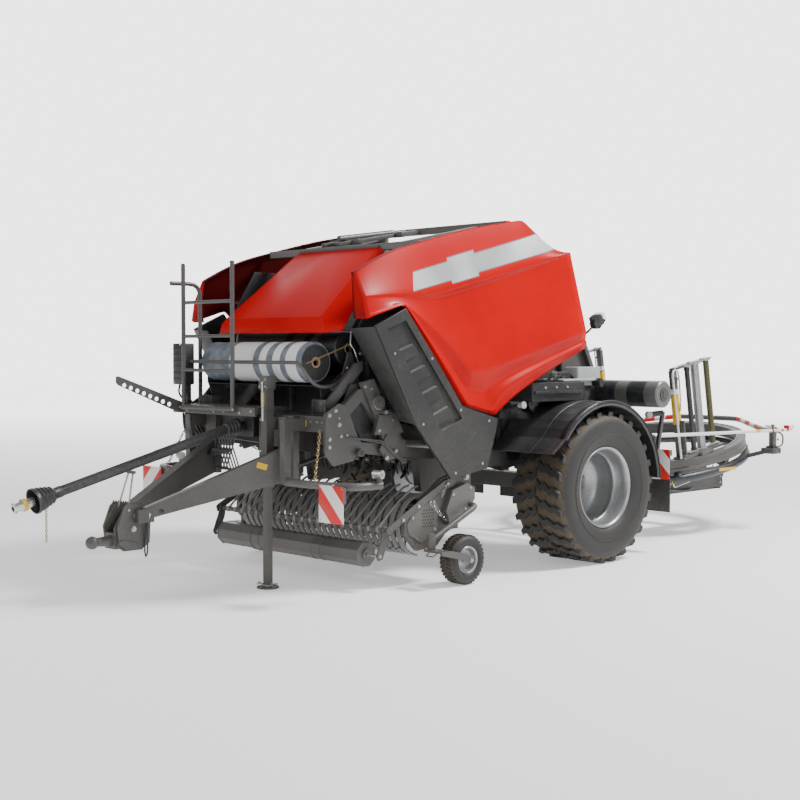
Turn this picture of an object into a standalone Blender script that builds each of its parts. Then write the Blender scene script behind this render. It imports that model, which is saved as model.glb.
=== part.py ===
"""Trailed fixed-chamber round baler with a bale wrapper behind it.

Metres, +Z up, ground at Z = 0, the drawbar points to -Y and +X is the machine's left side.
Lengths along the machine are given from the main axle and placed by along(): minus is forward.
"""
import math

import bmesh
import bpy
from mathutils import Matrix, Vector

# Driving dimensions
FRONT_REACH = 4.96          # axle to the tip of the drive shaft
REAR_REACH = 3.73           # axle to the back of the rear guard bow
AXLE_Y = (FRONT_REACH - REAR_REACH) / 2
GAP = 0.0003                # faces that touch
RUNNING = 0.006             # faces that slide or swing past each other

TYRE_RADIUS = 0.672
TYRE_WIDTH = 0.60
TRACK_HALF = 1.17           # centre plane of a main tyre
RIM_RADIUS = 0.337
AXLE_HALF = 0.97            # hub face of the axle
WHEEL_STEPS = 28

RAIL_IN = 0.66              # chassis side rails
RAIL_OUT = 0.74
RAIL_LOW = 0.86
RAIL_TOP = 1.00
RAIL_BACK = 1.00
BEAM_FRONT = -2.81          # front crossbeam
BEAM_BACK = -2.69
BEAM_LOW = 1.25
BEAM_TOP = 1.375
BEAM_HALF = 0.91

CHAMBER_Y = -0.50           # bale chamber
CHAMBER_Z = 1.64
ROLLER_RADIUS = 0.095
ROLLER_CIRCLE = 0.725
CHAMBER_HALF = 0.62         # inside of the side plates
SIDE_PLATE = 0.015
TAILGATE_HINGE_Z = 2.60

PANEL_EDGE = 0.955          # inner edge of a side panel's roof flange
PANEL_OUT = 1.20            # widest face of a side panel
SHEET = 0.008

PIVOT_Y = -1.46             # pickup pivot
PIVOT_Z = 0.84
PICKUP_HALF = 1.06          # inside of the pickup's side plates
REEL_Y = -1.90
REEL_Z = 0.47
BAND_RADIUS = 0.245
GUARD_HINGE_Y = -1.70
GUARD_HINGE_Z = 0.80
GUARD_ROLLER_Y = -2.41
GUARD_ROLLER_Z = 0.273
GAUGE_RADIUS = 0.2025
GAUGE_WIDTH = 0.165
GAUGE_X = 1.288
GAUGE_Y = -1.70
CASTOR_X = 1.22
CASTOR_Y = -1.98
CASTOR_Z = 0.30             # underside of the castor sleeve

JACK_X = 0.351
JACK_Y = -2.946
JACK_TUBE = 0.074
JACK_WALL = 0.005
JACK_LEG = 0.056

SHAFT_Y = -2.98             # rear joint of the drive shaft
SHAFT_Z = 1.28
SHAFT_DROP = math.radians(14.7)

PLATFORM_TOP = 1.43
PLATFORM_FRONT = -3.0247
LADDER_Y = -3.045
NET_Y = -2.70
NET_Z = 1.79
NET_RADIUS = 0.1625
ROLL_HALF = 0.65

FENDER_RADIUS = 0.755
FENDER_SHEET = 0.006
SPARE_Y = 0.85
SPARE_Z = 1.475
SPARE_RADIUS = 0.125

RING_Y = 2.45               # wrapping ring
RING_Z = 0.887
RING_TILT = math.radians(9.75)
RING_IN = 1.00
RING_OUT = 1.10
RING_DEPTH = 0.12
CARRIER_RADIUS = 1.08
CARRIER_TUBE = 0.045
CARRIER_DROP = 0.20
GUARD_ROD_X = 1.24
TABLE_ROLLER_Z = 0.575
BOARD = 0.282


def along(y):
    """Row position of a distance measured from the axle."""
    return AXLE_Y + y


for old in list(bpy.data.objects):
    bpy.data.objects.remove(old, do_unlink=True)
parts = bpy.data.collections.new("baler_wrapper")
cutters = bpy.data.collections.new("cutters")
bpy.context.scene.collection.children.link(parts)
bpy.context.scene.collection.children.link(cutters)

# Local x, y, z of a flat outline to world axes
SIDE = Matrix(((0, 0, 1), (1, 0, 0), (0, 1, 0))).to_4x4()      # outline in YZ, thickness on X
FRONT = Matrix(((1, 0, 0), (0, 0, -1), (0, 1, 0))).to_4x4()    # outline in XZ, thickness on Y


def paint(name, colour, roughness, metallic=0.0):
    material = bpy.data.materials.new(name)
    material.use_nodes = True
    shader = material.node_tree.nodes["Principled BSDF"]
    shader.inputs["Base Color"].default_value = (*colour, 1)
    shader.inputs["Roughness"].default_value = roughness
    shader.inputs["Metallic"].default_value = metallic
    return material


def add(name, data, matrix=None):
    obj = bpy.data.objects.new(name, data)
    obj.matrix_world = matrix or Matrix()
    cutters.objects.link(obj)
    return obj


def from_bmesh(shape, name="piece"):
    data = bpy.data.meshes.new(name)
    shape.to_mesh(data)
    shape.free()
    return add(name, data)


def box(x, y, z):
    """Box from ranges; y is measured from the axle."""
    shape = bmesh.new()
    size = [high - low for low, high in (x, y, z)]
    centre = Vector(((x[0] + x[1]) / 2, along((y[0] + y[1]) / 2), (z[0] + z[1]) / 2))
    place = Matrix.Translation(centre) @ Matrix.Diagonal((*size, 1))
    bmesh.ops.create_cube(shape, size=1, matrix=place)
    return from_bmesh(shape)


def point(p):
    return Vector((p[0], along(p[1]), p[2]))


def beam(start, end, width, height):
    """Square-cut bar between two points, width level and height across."""
    start, end = point(start), point(end)
    run = end - start
    forward = run.normalized()
    side = forward.cross(Vector((0, 0, 1)))
    if side.length < 0.1:
        side = Vector((1, 0, 0))
    side.normalize()
    up = side.cross(forward)
    turn = Matrix((side, forward, up)).transposed().to_4x4()
    place = Matrix.Translation((start + end) / 2) @ turn
    shape = bmesh.new()
    bmesh.ops.create_cube(shape, size=1, matrix=place @ Matrix.Diagonal((width, run.length, height, 1)))
    return from_bmesh(shape)


def rod(start, end, radius, sides=12, radius_end=None):
    start, end = point(start), point(end)
    run = end - start
    place = Matrix.Translation((start + end) / 2) @ run.to_track_quat("Z", "X").to_matrix().to_4x4()
    shape = bmesh.new()
    last = radius if radius_end is None else radius_end
    bmesh.ops.create_cone(shape, cap_ends=True, segments=sides, radius1=radius, radius2=last,
                          depth=run.length, matrix=place)
    return from_bmesh(shape)


def arc(centre_y, centre_z, radius, start, end, steps):
    """Points (y, z) on an arc; degrees from +Y towards +Z."""
    turns = [math.radians(start + (end - start) * i / steps) for i in range(steps + 1)]
    return [(centre_y + radius * math.cos(a), centre_z + radius * math.sin(a)) for a in turns]


def as_mesh(curve_obj):
    depsgraph = bpy.context.evaluated_depsgraph_get()
    data = bpy.data.meshes.new_from_object(curve_obj.evaluated_get(depsgraph))
    shape = bmesh.new()
    shape.from_mesh(data)
    bmesh.ops.remove_doubles(shape, verts=shape.verts, dist=0.00002)
    shape.to_mesh(data)
    shape.free()
    obj = add(curve_obj.name, data, curve_obj.matrix_world)
    bpy.data.objects.remove(curve_obj, do_unlink=True)
    return obj


def plate(points, thickness, centre, frame=SIDE):
    """Flat outline with a thickness; SIDE outlines are (y from the axle, z), FRONT ones (x, z)."""
    curve = bpy.data.curves.new("outline", "CURVE")
    curve.dimensions = "2D"
    curve.fill_mode = "BOTH"
    curve.extrude = thickness / 2
    spline = curve.splines.new("POLY")
    spline.points.add(len(points) - 1)
    for knot, (a, b) in zip(spline.points, points):
        knot.co = (a, b, 0, 1)
    spline.use_cyclic_u = True
    if frame is SIDE:
        shift = Vector((centre, AXLE_Y, 0))
    else:
        shift = Vector((0, along(centre), 0))
    obj = add("outline", curve, Matrix.Translation(shift) @ frame)
    return as_mesh(obj)


def strip(points, thickness):
    """Closed outline of a bent sheet that follows the points, its thickness to their left."""
    offset = []
    for i, (y, z) in enumerate(points):
        before = points[max(i - 1, 0)]
        after = points[min(i + 1, len(points) - 1)]
        run = Vector((after[0] - before[0], after[1] - before[1])).normalized()
        offset.append((y - run.y * thickness, z + run.x * thickness))
    return list(points) + offset[::-1]


def rounded(points, bend, steps=3):
    """Route with each corner turned on a bend of this length."""
    route = [Vector(points[0])]
    for before, corner, after in zip(points, points[1:], points[2:]):
        corner = Vector(corner)
        start = corner + (Vector(before) - corner).normalized() * bend
        end = corner + (Vector(after) - corner).normalized() * bend
        for i in range(steps + 1):
            t = i / steps
            route.append((1 - t) ** 2 * start + 2 * t * (1 - t) * corner + t ** 2 * end)
    route.append(Vector(points[-1]))
    return route


def tube(points, radius, bend=0.06, resolution=1, closed=False):
    curve = bpy.data.curves.new("tube", "CURVE")
    curve.dimensions = "3D"
    curve.bevel_depth = radius
    curve.bevel_resolution = resolution
    curve.use_fill_caps = not closed
    route = [Vector(p) for p in points] if closed else rounded(points, bend)
    spline = curve.splines.new("POLY")
    spline.points.add(len(route) - 1)
    for knot, p in zip(spline.points, route):
        knot.co = (p.x, along(p.y), p.z, 1)
    spline.use_cyclic_u = closed
    return as_mesh(add("tube", curve))


def turned(profile, steps, place, closed=False):
    """Solid of revolution about local Z from (radius, height) points, outer side downwards."""
    shape = bmesh.new()
    knots = [shape.verts.new((radius, 0, height)) for radius, height in profile]
    for a, b in zip(knots, knots[1:]):
        shape.edges.new((a, b))
    if closed:
        shape.edges.new((knots[-1], knots[0]))
    obj = from_bmesh(shape)
    obj.matrix_world = place
    screw = obj.modifiers.new("turn", "SCREW")
    screw.steps = steps
    screw.render_steps = steps
    screw.use_merge_vertices = True
    screw.merge_threshold = 0.0001
    screw.use_smooth_shade = True
    return obj


def sideways(side, y, z):
    """Local Z along the axle line, outwards on this side."""
    return Matrix.Translation((0, along(y), z)) @ Matrix.Rotation(side * math.pi / 2, 4, "Y")


def boolean(obj, other, operation):
    step = obj.modifiers.new(operation.lower(), "BOOLEAN")
    step.operation = operation
    step.solver = "EXACT"
    step.object = other
    other.hide_render = True
    other.display_type = "WIRE"


def cut(obj, *tools):
    for tool in tools:
        boolean(obj, tool, "DIFFERENCE")
    return obj


def part(name, material, base, *others, parent=None):
    """Joins the pieces into one named solid."""
    for other in others:
        boolean(base, other, "UNION")
    base.name = name
    base.data.name = name
    base.data.materials.clear()
    base.data.materials.append(material)
    cutters.objects.unlink(base)
    parts.objects.link(base)
    if parent:
        base.parent = parent
        base.matrix_parent_inverse = parent.matrix_world.inverted()
    return base


def pivot(name, x, y, z, parent=None):
    """Empty on a joint's axis that carries the moving pieces."""
    empty = bpy.data.objects.new(name, None)
    empty.location = (x, along(y), z)
    parts.objects.link(empty)
    bpy.context.view_layer.update()
    if parent:
        empty.parent = parent
        empty.matrix_parent_inverse = parent.matrix_world.inverted()
        bpy.context.view_layer.update()
    return empty


RED = paint("red_paint", (0.78, 0.02, 0.03), 0.25)
FRAME_GREY = paint("frame_grey", (0.14, 0.135, 0.13), 0.45)
DARK = paint("dark_steel", (0.02, 0.022, 0.025), 0.5)
PLASTIC = paint("black_plastic", (0.025, 0.026, 0.028), 0.55)
RUBBER = paint("tyre_rubber", (0.03, 0.028, 0.024), 0.85)
SILVER = paint("rim_silver", (0.55, 0.56, 0.57), 0.35, 0.9)
ALLOY = paint("roller_alloy", (0.6, 0.6, 0.58), 0.35, 1.0)
WHITE = paint("board_white", (0.8, 0.8, 0.78), 0.4)
FILM = paint("roll_film", (0.7, 0.7, 0.68), 0.45)
TANK = paint("tank_grey", (0.35, 0.38, 0.4), 0.5)


def axle():
    pieces = [rod((-AXLE_HALF + GAP, 0, TYRE_RADIUS), (AXLE_HALF - GAP, 0, TYRE_RADIUS), 0.05, 16)]
    for side in (-1, 1):
        low, high = sorted((side * RAIL_IN, side * RAIL_OUT))
        pieces.append(box((low, high), (-0.10, 0.10), (0.70, RAIL_LOW - GAP)))
    part("axle_beam", FRAME_GREY, box((-0.80, 0.80), (-0.07, 0.07), (0.602, 0.742)), *pieces)


def main_wheel(side, name):
    hub = pivot(name + "_pivot", 0, 0, TYRE_RADIUS)
    outer = TRACK_HALF + TYRE_WIDTH / 2
    inner = TRACK_HALF - TYRE_WIDTH / 2
    bead_out, bead_in = outer - 0.065, inner + 0.065
    lip = RIM_RADIUS + 0.021
    side_out = [(RIM_RADIUS + GAP, bead_out), (lip + 0.004, bead_out), (0.40, outer - 0.03), (0.50, outer),
                (0.59, outer - 0.008), (0.64, outer - 0.04), (TYRE_RADIUS - 0.007, outer - 0.09),
                (TYRE_RADIUS, outer - 0.17)]
    side_in = [(radius, 2 * TRACK_HALF - x) for radius, x in reversed(side_out)]
    tyre = turned(side_out + side_in, WHEEL_STEPS, sideways(side, 0, TYRE_RADIUS), closed=True)
    part("tyre_" + name[6:], RUBBER, tyre, parent=hub)
    rim = turned([(0, 1.035), (0.14, 1.035), (0.15, 1.02), (0.29, 1.02), (0.315, 1.06), (0.325, 1.36),
                  (lip - 0.012, bead_out + 0.015), (lip, bead_out + 0.015), (lip, bead_out + GAP),
                  (RIM_RADIUS, bead_out + GAP), (RIM_RADIUS, bead_in - GAP), (lip, bead_in - GAP),
                  (lip, bead_in - 0.015), (RIM_RADIUS - 0.008, bead_in - 0.015), (0.325, 0.97),
                  (0.31, 0.995), (0.15, 0.995), (0.14, AXLE_HALF), (0, AXLE_HALF)],
                 WHEEL_STEPS, sideways(side, 0, TYRE_RADIUS))
    part("rim_" + name[6:], SILVER, rim, parent=hub)


def chassis():
    rail = [(RAIL_BACK, RAIL_LOW), (RAIL_BACK, RAIL_TOP), (-0.90, RAIL_TOP), (-1.50, 1.20), (-2.20, 1.36),
            (-2.70, 1.36), (-2.70, 1.15), (-2.10, 1.05), (-1.66, 0.96), (-1.62, 0.70), (-1.22, 0.70),
            (-0.95, RAIL_LOW)]
    end_plate = [(-2.84, 1.39), (-2.66, 1.39), (-2.45, 1.15), (-2.55, 1.02), (-2.75, 0.99), (-2.84, 1.10)]
    side_frame = [(-2.78, 1.34), (-2.46, 1.58), (-2.34, 1.58), (-1.98, 1.16), (-1.36, 1.10), (-1.36, 0.98),
                  (-1.64, 0.99), (-2.12, 1.03), (-2.78, 1.12)]
    window = [(-2.66, 1.30), (-2.44, 1.48), (-2.14, 1.14), (-2.62, 1.17)]
    pieces = [box((-0.70, 0.70), (0.90, 0.98), (0.87, 0.97)),
              box((-1.442, 1.442), (0.93, 0.97), (0.90, 0.955))]
    for side in (-1, 1):
        pieces.append(plate(rail, RAIL_OUT - RAIL_IN, side * (RAIL_IN + RAIL_OUT) / 2))
        pieces.append(plate(end_plate, 0.02, side * (BEAM_HALF + 0.005)))
        frame = plate(side_frame, 0.06, side * 0.87)
        pieces.append(cut(frame, plate(window, 0.10, side * 0.87)))
        ear = [(-1.40, 1.06), (-1.52, 1.06), (-1.52, PIVOT_Z - 0.05), (-1.40, PIVOT_Z - 0.05)]
        pieces.append(rod((side * 0.70, PIVOT_Y, 1.04), (side * 1.02, PIVOT_Y, 1.04), 0.04))
        pieces.append(plate(ear, 0.03, side * 1.00))
        pieces.append(rod((side * 0.99, PIVOT_Y, PIVOT_Z), (side * (PICKUP_HALF - GAP), PIVOT_Y, PIVOT_Z),
                          0.025))
        low, high = sorted((side * RAIL_IN, side * (RAIL_IN + 0.05)))
        pieces.append(box((low, high), (SPARE_Y - 0.05, SPARE_Y + 0.05), (0.95, SPARE_Z + 0.10)))
        pieces.append(rod((side * (RAIL_IN + 0.03), SPARE_Y, SPARE_Z), (side * 1.445, SPARE_Y, SPARE_Z),
                          0.032))
        pieces += board_arm(side)
    part("chassis_frame", FRAME_GREY,
         box((-BEAM_HALF, BEAM_HALF), (BEAM_FRONT, BEAM_BACK), (BEAM_LOW, BEAM_TOP)), *pieces)


def drawbar():
    toe = Vector((0.10, -3.97))
    heel = Vector((0.525, BEAM_FRONT - 0.02))
    pieces = []
    for side in (-1, 1):
        run = Vector(((heel.x - toe.x) * side, heel.y - toe.y))
        forward = Vector((run.x, run.y, 0)).normalized()
        across = forward.cross(Vector((0, 0, 1)))
        turn = Matrix((forward, Vector((0, 0, 1)), across)).transposed().to_4x4()
        place = Matrix.Translation((toe.x * side, along(toe.y), 0)) @ turn
        web = plate([(-0.02, 0.60), (-0.02, 0.68), (run.length, 1.155), (run.length, 0.87)], 0.08, 0)
        web.matrix_world = place
        pieces.append(web)
        low, high = sorted((side * 0.44, side * 0.58))
        pieces.append(box((low, high), (-2.87, BEAM_FRONT - GAP), (0.86, 1.372)))
    part("drawbar", FRAME_GREY, box((-0.16, 0.16), (-4.02, -3.88), (0.59, 0.69)), *pieces)


def hitch():
    cheek = [(-4.18, 0.56), (-4.16, 0.42), (-4.10, 0.38), (-3.94, 0.38), (-3.90, 0.42), (-3.90, 0.5897),
             (-4.0203, 0.5897), (-4.0203, 0.74), (-4.08, 0.72)]
    arm = rod((0, -4.16, 0.46), (0, -4.322, 0.458), 0.032)
    shape = bmesh.new()
    bmesh.ops.create_uvsphere(shape, u_segments=16, v_segments=10, radius=0.048,
                              matrix=Matrix.Translation(point((0, -4.322, 0.458))))
    ball = from_bmesh(shape)
    pieces = [plate(cheek, 0.016, side * 0.075) for side in (-1, 1)]
    props = []
    rest_y = -3.98
    shaft_z = SHAFT_Z - math.tan(SHAFT_DROP) * (SHAFT_Y - rest_y)
    for side in (-1, 1):
        props.append(rod((side * 0.07, -4.05, 0.70), (side * 0.03, rest_y, shaft_z - 0.055), 0.006, 8))
    props.append(box((-0.05, 0.05), (rest_y - 0.01, rest_y + 0.01), (shaft_z - 0.065, shaft_z - 0.043)))
    part("hitch_head", FRAME_GREY, box((-0.07, 0.07), (-4.17, -3.92), (0.40, 0.52)), arm, ball, *pieces,
         *props)


def jack():
    half = JACK_TUBE / 2
    bore = half - JACK_WALL
    tube_body = box((JACK_X - half, JACK_X + half), (JACK_Y - half, JACK_Y + half), (0.80, 1.67))
    guide = JACK_LEG / 2 + GAP
    cut(tube_body, box((JACK_X - bore, JACK_X + bore), (JACK_Y - bore, JACK_Y + bore), (0.84, 1.655)),
        box((JACK_X - guide, JACK_X + guide), (JACK_Y - guide, JACK_Y + guide), (0.70, 0.90)))
    mount = box((JACK_X - 0.04, JACK_X + 0.04), (JACK_Y + half - 0.003, BEAM_FRONT - GAP), (1.27, 1.36))
    part("jack_housing", FRAME_GREY, tube_body, mount)
    slide = pivot("jack_slide", JACK_X, JACK_Y, 0)
    leg = JACK_LEG / 2
    foot = rod((JACK_X, JACK_Y, 0), (JACK_X, JACK_Y, 0.014), 0.09, 20)
    part("jack_leg", FRAME_GREY,
         box((JACK_X - leg, JACK_X + leg), (JACK_Y - leg, JACK_Y + leg), (0.008, 1.20)), foot, parent=slide)


def board_arm(side):
    """Arm of the front warning board: a post on the crossbeam, the bent tube and its end stop."""
    route = [(side * 0.63, -2.985, 0.865), (side * 0.95, -2.985, 0.865), (side * 1.27, -2.86, 0.86),
             (side * 1.30, -2.60, 0.86)]
    post = sorted((side * 0.60, side * 0.66))
    return [tube(route, 0.03, 0.10, 1), box(post, (-3.00, BEAM_FRONT + 0.02), (1.26, 1.355)),
            box(post, (-3.02, -2.96), (0.85, 1.35)), rod((side * 1.30, -2.62, 0.86),
                                                         (side * 1.30, -2.62, 0.95), 0.022),
            box(sorted((side * 1.10, side * 1.27)), (-3.0037, -2.93), (0.74, 0.86))]


def boards():
    for side, name in ((1, "left"), (-1, "right")):
        x = sorted((side * (1.186 - BOARD / 2), side * (1.186 + BOARD / 2)))
        part("warning_board_front_" + name, WHITE, box(x, (-3.007, -3.004), (0.594, 0.594 + BOARD)))
        x = sorted((side * (1.442 - BOARD), side * 1.442))
        part("warning_board_rear_" + name, WHITE, box(x, (0.9267, 0.9297), (0.677, 0.677 + BOARD)))
        x = sorted((side * 0.92, side * 1.44))
        part("mudflap_" + name, PLASTIC, box(x, (0.94, 0.95), (0.37, 0.90 - GAP)))


def platform():
    edge = -0.832
    deck = box((edge, 0.29), (-3.005, -2.70), (1.405, PLATFORM_TOP))
    fascia = box((edge, 0.29), (PLATFORM_FRONT, -3.00), (BEAM_TOP - 0.015, PLATFORM_TOP - 0.002))
    ribs = [box((x, x + 0.04), (-3.00, -2.71), (BEAM_TOP + GAP, 1.41)) for x in (edge + 0.01, -0.30, 0.24)]
    part("platform", FRAME_GREY, deck, fascia, *ribs)
    post = 0.018
    post_x = edge - GAP - post
    rail = [(post_x, -2.73, 1.408), (post_x, -2.73, 2.45), (post_x, -3.02, 2.45)]
    part("handrail", FRAME_GREY, tube(rail, post, 0.10))
    lugs = box((edge + 0.005, -0.74), (-2.94, -2.90), (PLATFORM_TOP + GAP, 1.62))
    part("control_box", PLASTIC, box((-0.873, -0.722), (-3.00, -2.88), (1.594, 1.942)), lugs)
    root = PLATFORM_FRONT - GAP
    arm = [(root, 1.36), (root, 1.43), (-3.664, 1.675), (-3.664, 1.62), (-3.10, 1.38)]
    bracket = box((-0.745, -0.697), (-3.04, root - 0.0001), (1.362, 1.425))
    part("hose_arm", FRAME_GREY, plate(arm, 0.012, -0.705), bracket)


def ladder():
    hinge = pivot("ladder_hinge", 0, LADDER_Y, PLATFORM_TOP - 0.02)
    foot = PLATFORM_TOP - 0.02
    left, right = -0.646, 0.03
    top = 2.60
    pieces = [rod((right, LADDER_Y, foot), (right, LADDER_Y, top), 0.018)]
    for z in (1.72, 2.00, 2.28):
        pieces.append(rod((left, LADDER_Y, z), (right, LADDER_Y, z), 0.014))
    barrel = rod((left - 0.03, LADDER_Y, foot), (right + 0.03, LADDER_Y, foot), 0.02)
    part("ladder", FRAME_GREY, rod((left, LADDER_Y, foot), (left, LADDER_Y, top), 0.018), barrel, *pieces,
         parent=hinge)


def net_box():
    """Tray on two cheeks; the left cheek stays clear of the net roll's end."""
    floor = [(-2.77, 1.607), (-2.62, 1.605), (-2.40, 1.66), (-2.20, 1.72), (-2.16, 2.05)]
    foot = 1.36 + GAP
    rear = [(-2.66, foot), (-2.40, foot), (-2.16, 1.60), (-2.14, 2.05), (-2.30, 2.05)]
    pieces = [plate(rear + [(-2.62, 1.83), (-2.76, 1.83), (-2.76, 1.62)], 0.012, -0.70),
              plate(rear + [(-2.44, 1.74), (-2.62, 1.595), (-2.70, 1.595)], 0.012, 0.70)]
    loop = [(-0.705, -2.93, NET_Z), (0.70, -2.93, NET_Z), (0.76, -2.93, 1.76), (0.76, -2.80, 1.60),
            (0.76, -2.60, 1.60), (0.71, -2.45, 1.70)]
    spindles = ((-1, NET_Y, NET_Z), (-1, -2.36, 1.90), (1, -2.36, 1.90))
    ends = [rod((side * 0.706, y, z), (side * (ROLL_HALF + GAP), y, z), 0.03) for side, y, z in spindles]
    left_stay = rod((-0.70, -2.93, NET_Z), (-0.70, -2.72, NET_Z), 0.014)
    part("net_box", DARK, plate(strip(floor, 0.004), 1.40, 0), *pieces, *ends, tube(loop, 0.014, 0.05),
         left_stay)
    for name, y, z, radius in (("net_roll", NET_Y, NET_Z, NET_RADIUS), ("film_roll", -2.36, 1.90, 0.14)):
        part(name, FILM, rod((-ROLL_HALF, y, z), (ROLL_HALF, y, z), radius, 28))


def roller_row(angles):
    rows = []
    for turn in angles:
        a = math.radians(turn)
        y = CHAMBER_Y + ROLLER_CIRCLE * math.cos(a)
        z = CHAMBER_Z + ROLLER_CIRCLE * math.sin(a)
        reach = CHAMBER_HALF + SIDE_PLATE / 2
        rows.append(rod((-reach, y, z), (reach, y, z), ROLLER_RADIUS, 8))
    return rows


def chamber():
    split = CHAMBER_Y - RUNNING
    wide = CHAMBER_HALF + SIDE_PLATE
    ear_in = wide + 0.0155
    ear = [(-0.80, 2.46), (CHAMBER_Y, TAILGATE_HINGE_Z - 0.04), (CHAMBER_Y + 0.04, TAILGATE_HINGE_Z),
           (CHAMBER_Y, TAILGATE_HINGE_Z + 0.04), (-0.80, 2.62)]
    wall = [(split, 2.50), (CHAMBER_Y - 0.06, 2.57), (-0.95, 2.60), (-1.32, 2.40), (-1.45, 1.95),
            (-1.45, 1.40),
            (-1.28, 1.16), (-1.00, 0.92), (split, 0.80)]
    pieces = [plate(wall, SIDE_PLATE, CHAMBER_HALF + SIDE_PLATE / 2)]
    pieces += roller_row((100, 120, 140, 160, 180, 200, 240, 260))
    for y, top in ((-0.78, 3.0), (-1.85, 2.775)):
        pieces.append(box((-PANEL_EDGE + GAP, PANEL_EDGE - GAP), (y - 0.03, y + 0.03), (top - 0.06, top)))
    for side in (-1, 1):
        x = side * 0.62
        pieces.append(box(sorted((side * 0.60, side * 0.645)), (-0.83, -0.73), (2.45, 2.96)))
        pieces.append(beam((x, -0.78, 2.95), (x, -1.86, 2.735), 0.05, 0.06))
        pieces.append(beam((x, -1.84, 2.73), (x, -1.28, 2.22), 0.045, 0.07))
        pieces.append(box(sorted((side * 0.62, side * 0.72)), (-0.89, -0.70), (RAIL_TOP + GAP, 1.08)))
        pieces.append(box(sorted((side * (wide - 0.01), side * ear_in)), (-0.80, -0.66), (2.46, 2.56)))
        pieces.append(plate(ear, 0.02, side * (ear_in + 0.01)))
    part("chamber_front", DARK, plate(wall, SIDE_PLATE, -(CHAMBER_HALF + SIDE_PLATE / 2)), *pieces)


def tailgate():
    split = CHAMBER_Y + RUNNING
    back = [(-0.12, 2.58), (0.40, 2.30), (0.62, 2.07), (0.84, 1.62), (0.84, 1.34), (0.60, 1.10)]
    wall = [(split, TAILGATE_HINGE_Z)] + back + [(0.0, 0.90), (split, 0.80)]
    hinge = pivot("tailgate_hinge", 0, CHAMBER_Y, TAILGATE_HINGE_Z)
    pieces = [plate(wall, SIDE_PLATE, CHAMBER_HALF + SIDE_PLATE / 2),
              plate(strip(back[::-1], 0.006), 2 * CHAMBER_HALF + SIDE_PLATE, 0)]
    pieces += roller_row((-80, -60, -40, -20, 0, 20, 40, 60, 80))
    wide = CHAMBER_HALF + SIDE_PLATE
    for side in (-1, 1):
        pieces.append(rod((side * (wide - 0.008), CHAMBER_Y, TAILGATE_HINGE_Z),
                          (side * (wide + 0.0155 - GAP), CHAMBER_Y, TAILGATE_HINGE_Z), 0.02))
    part("tailgate", FRAME_GREY, plate(wall, SIDE_PLATE, -(CHAMBER_HALF + SIDE_PLATE / 2)), *pieces,
         parent=hinge)


def sheet_from_rows(rows, thickness, name):
    """Sheet lofted through rows of (x, y, z) points, thickened inwards."""
    shape = bmesh.new()
    grid = [[shape.verts.new(point(p)) for p in row] for row in rows]
    for upper, lower in zip(grid, grid[1:]):
        for a, b, c, d in zip(upper, upper[1:], lower[1:], lower):
            shape.faces.new((a, b, c, d))
    bmesh.ops.triangulate(shape, faces=shape.faces)
    bmesh.ops.recalc_face_normals(shape, faces=shape.faces)
    obj = from_bmesh(shape, name)
    solid = obj.modifiers.new("sheet", "SOLIDIFY")
    solid.thickness = thickness
    solid.offset = 0
    return obj


def side_panel(side, name):
    """Rows run from the roof flange down; columns run from the front edge to the rear edge."""
    top = [(-2.60, 2.49), (-2.25, 2.666), (-1.82, 2.776), (-1.32, 2.90), (-0.65, 3.013), (-0.236, 2.766)]
    crease = [(-2.605, 2.30), (-2.25, 2.38), (-1.90, 2.44), (-1.32, 2.58), (-0.65, 2.70), (-0.20, 2.62)]
    ridge = [(-2.60, 2.13), (-2.23, 2.24), (-1.80, 1.745), (-1.32, 1.77), (-0.65, 1.91), (0.0, 2.051)]
    low = [(-2.595, 2.12), (-2.225, 2.235), (-1.58, 1.445), (-1.16, 1.345), (-0.62, 1.62), (0.02, 1.90)]
    rows = [[(side * PANEL_EDGE, y, z - 0.003) for y, z in top]]
    for x, row in ((1.015, top), (1.13, crease), (PANEL_OUT, ridge), (1.15, low)):
        rows.append([(side * x, y, z) for y, z in row])
    hinge = pivot(name + "_hinge", side * 0.97, -1.82, 2.80)
    part(name, RED, sheet_from_rows(rows, SHEET, name), parent=hinge)


def shield(side, name):
    face = [(-2.56, 2.07), (-2.237, 2.212), (-1.822, 1.716), (-1.60, 1.43), (-1.17, 1.315), (-1.194, 1.202),
            (-1.30, 0.904), (-1.726, 0.841), (-2.13, 1.30)]
    slab = plate(face, 0.035, side * 1.18)
    flange = sheet_from_rows([[(side * 0.93, -2.59, 2.06), (side * 1.175, -2.55, 2.065)],
                              [(side * 1.02, -2.11, 1.31), (side * 1.175, -2.11, 1.29)]], 0.012, "flange")
    stay = box(sorted((side * (0.90 + GAP), side * 1.17)), (-1.96, -1.92), (1.10, 1.13))
    part(name, PLASTIC, slab, flange, stay)


def hood():
    hinge_y, hinge_z = -1.88 - 0.012 - GAP, 2.745
    hinge = pivot("hood_hinge", 0, hinge_y, hinge_z)
    rows = [[(-0.60, hinge_y - 0.01, 2.70), (-0.50, hinge_y, hinge_z), (0.50, hinge_y, hinge_z),
             (0.60, hinge_y - 0.01, 2.70)],
            [(-0.80, -2.50, 2.11), (-0.62, -2.63, 2.145), (0.62, -2.63, 2.145), (0.80, -2.50, 2.11)],
            [(-0.77, -2.52, 2.04), (-0.70, -2.635, 2.023), (0.70, -2.635, 2.023), (0.77, -2.52, 2.04)]]
    barrel = rod((-0.48, hinge_y, hinge_z), (0.48, hinge_y, hinge_z), 0.012, 12)
    part("front_hood", RED, sheet_from_rows(rows, SHEET, "hood"), barrel, parent=hinge)


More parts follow.
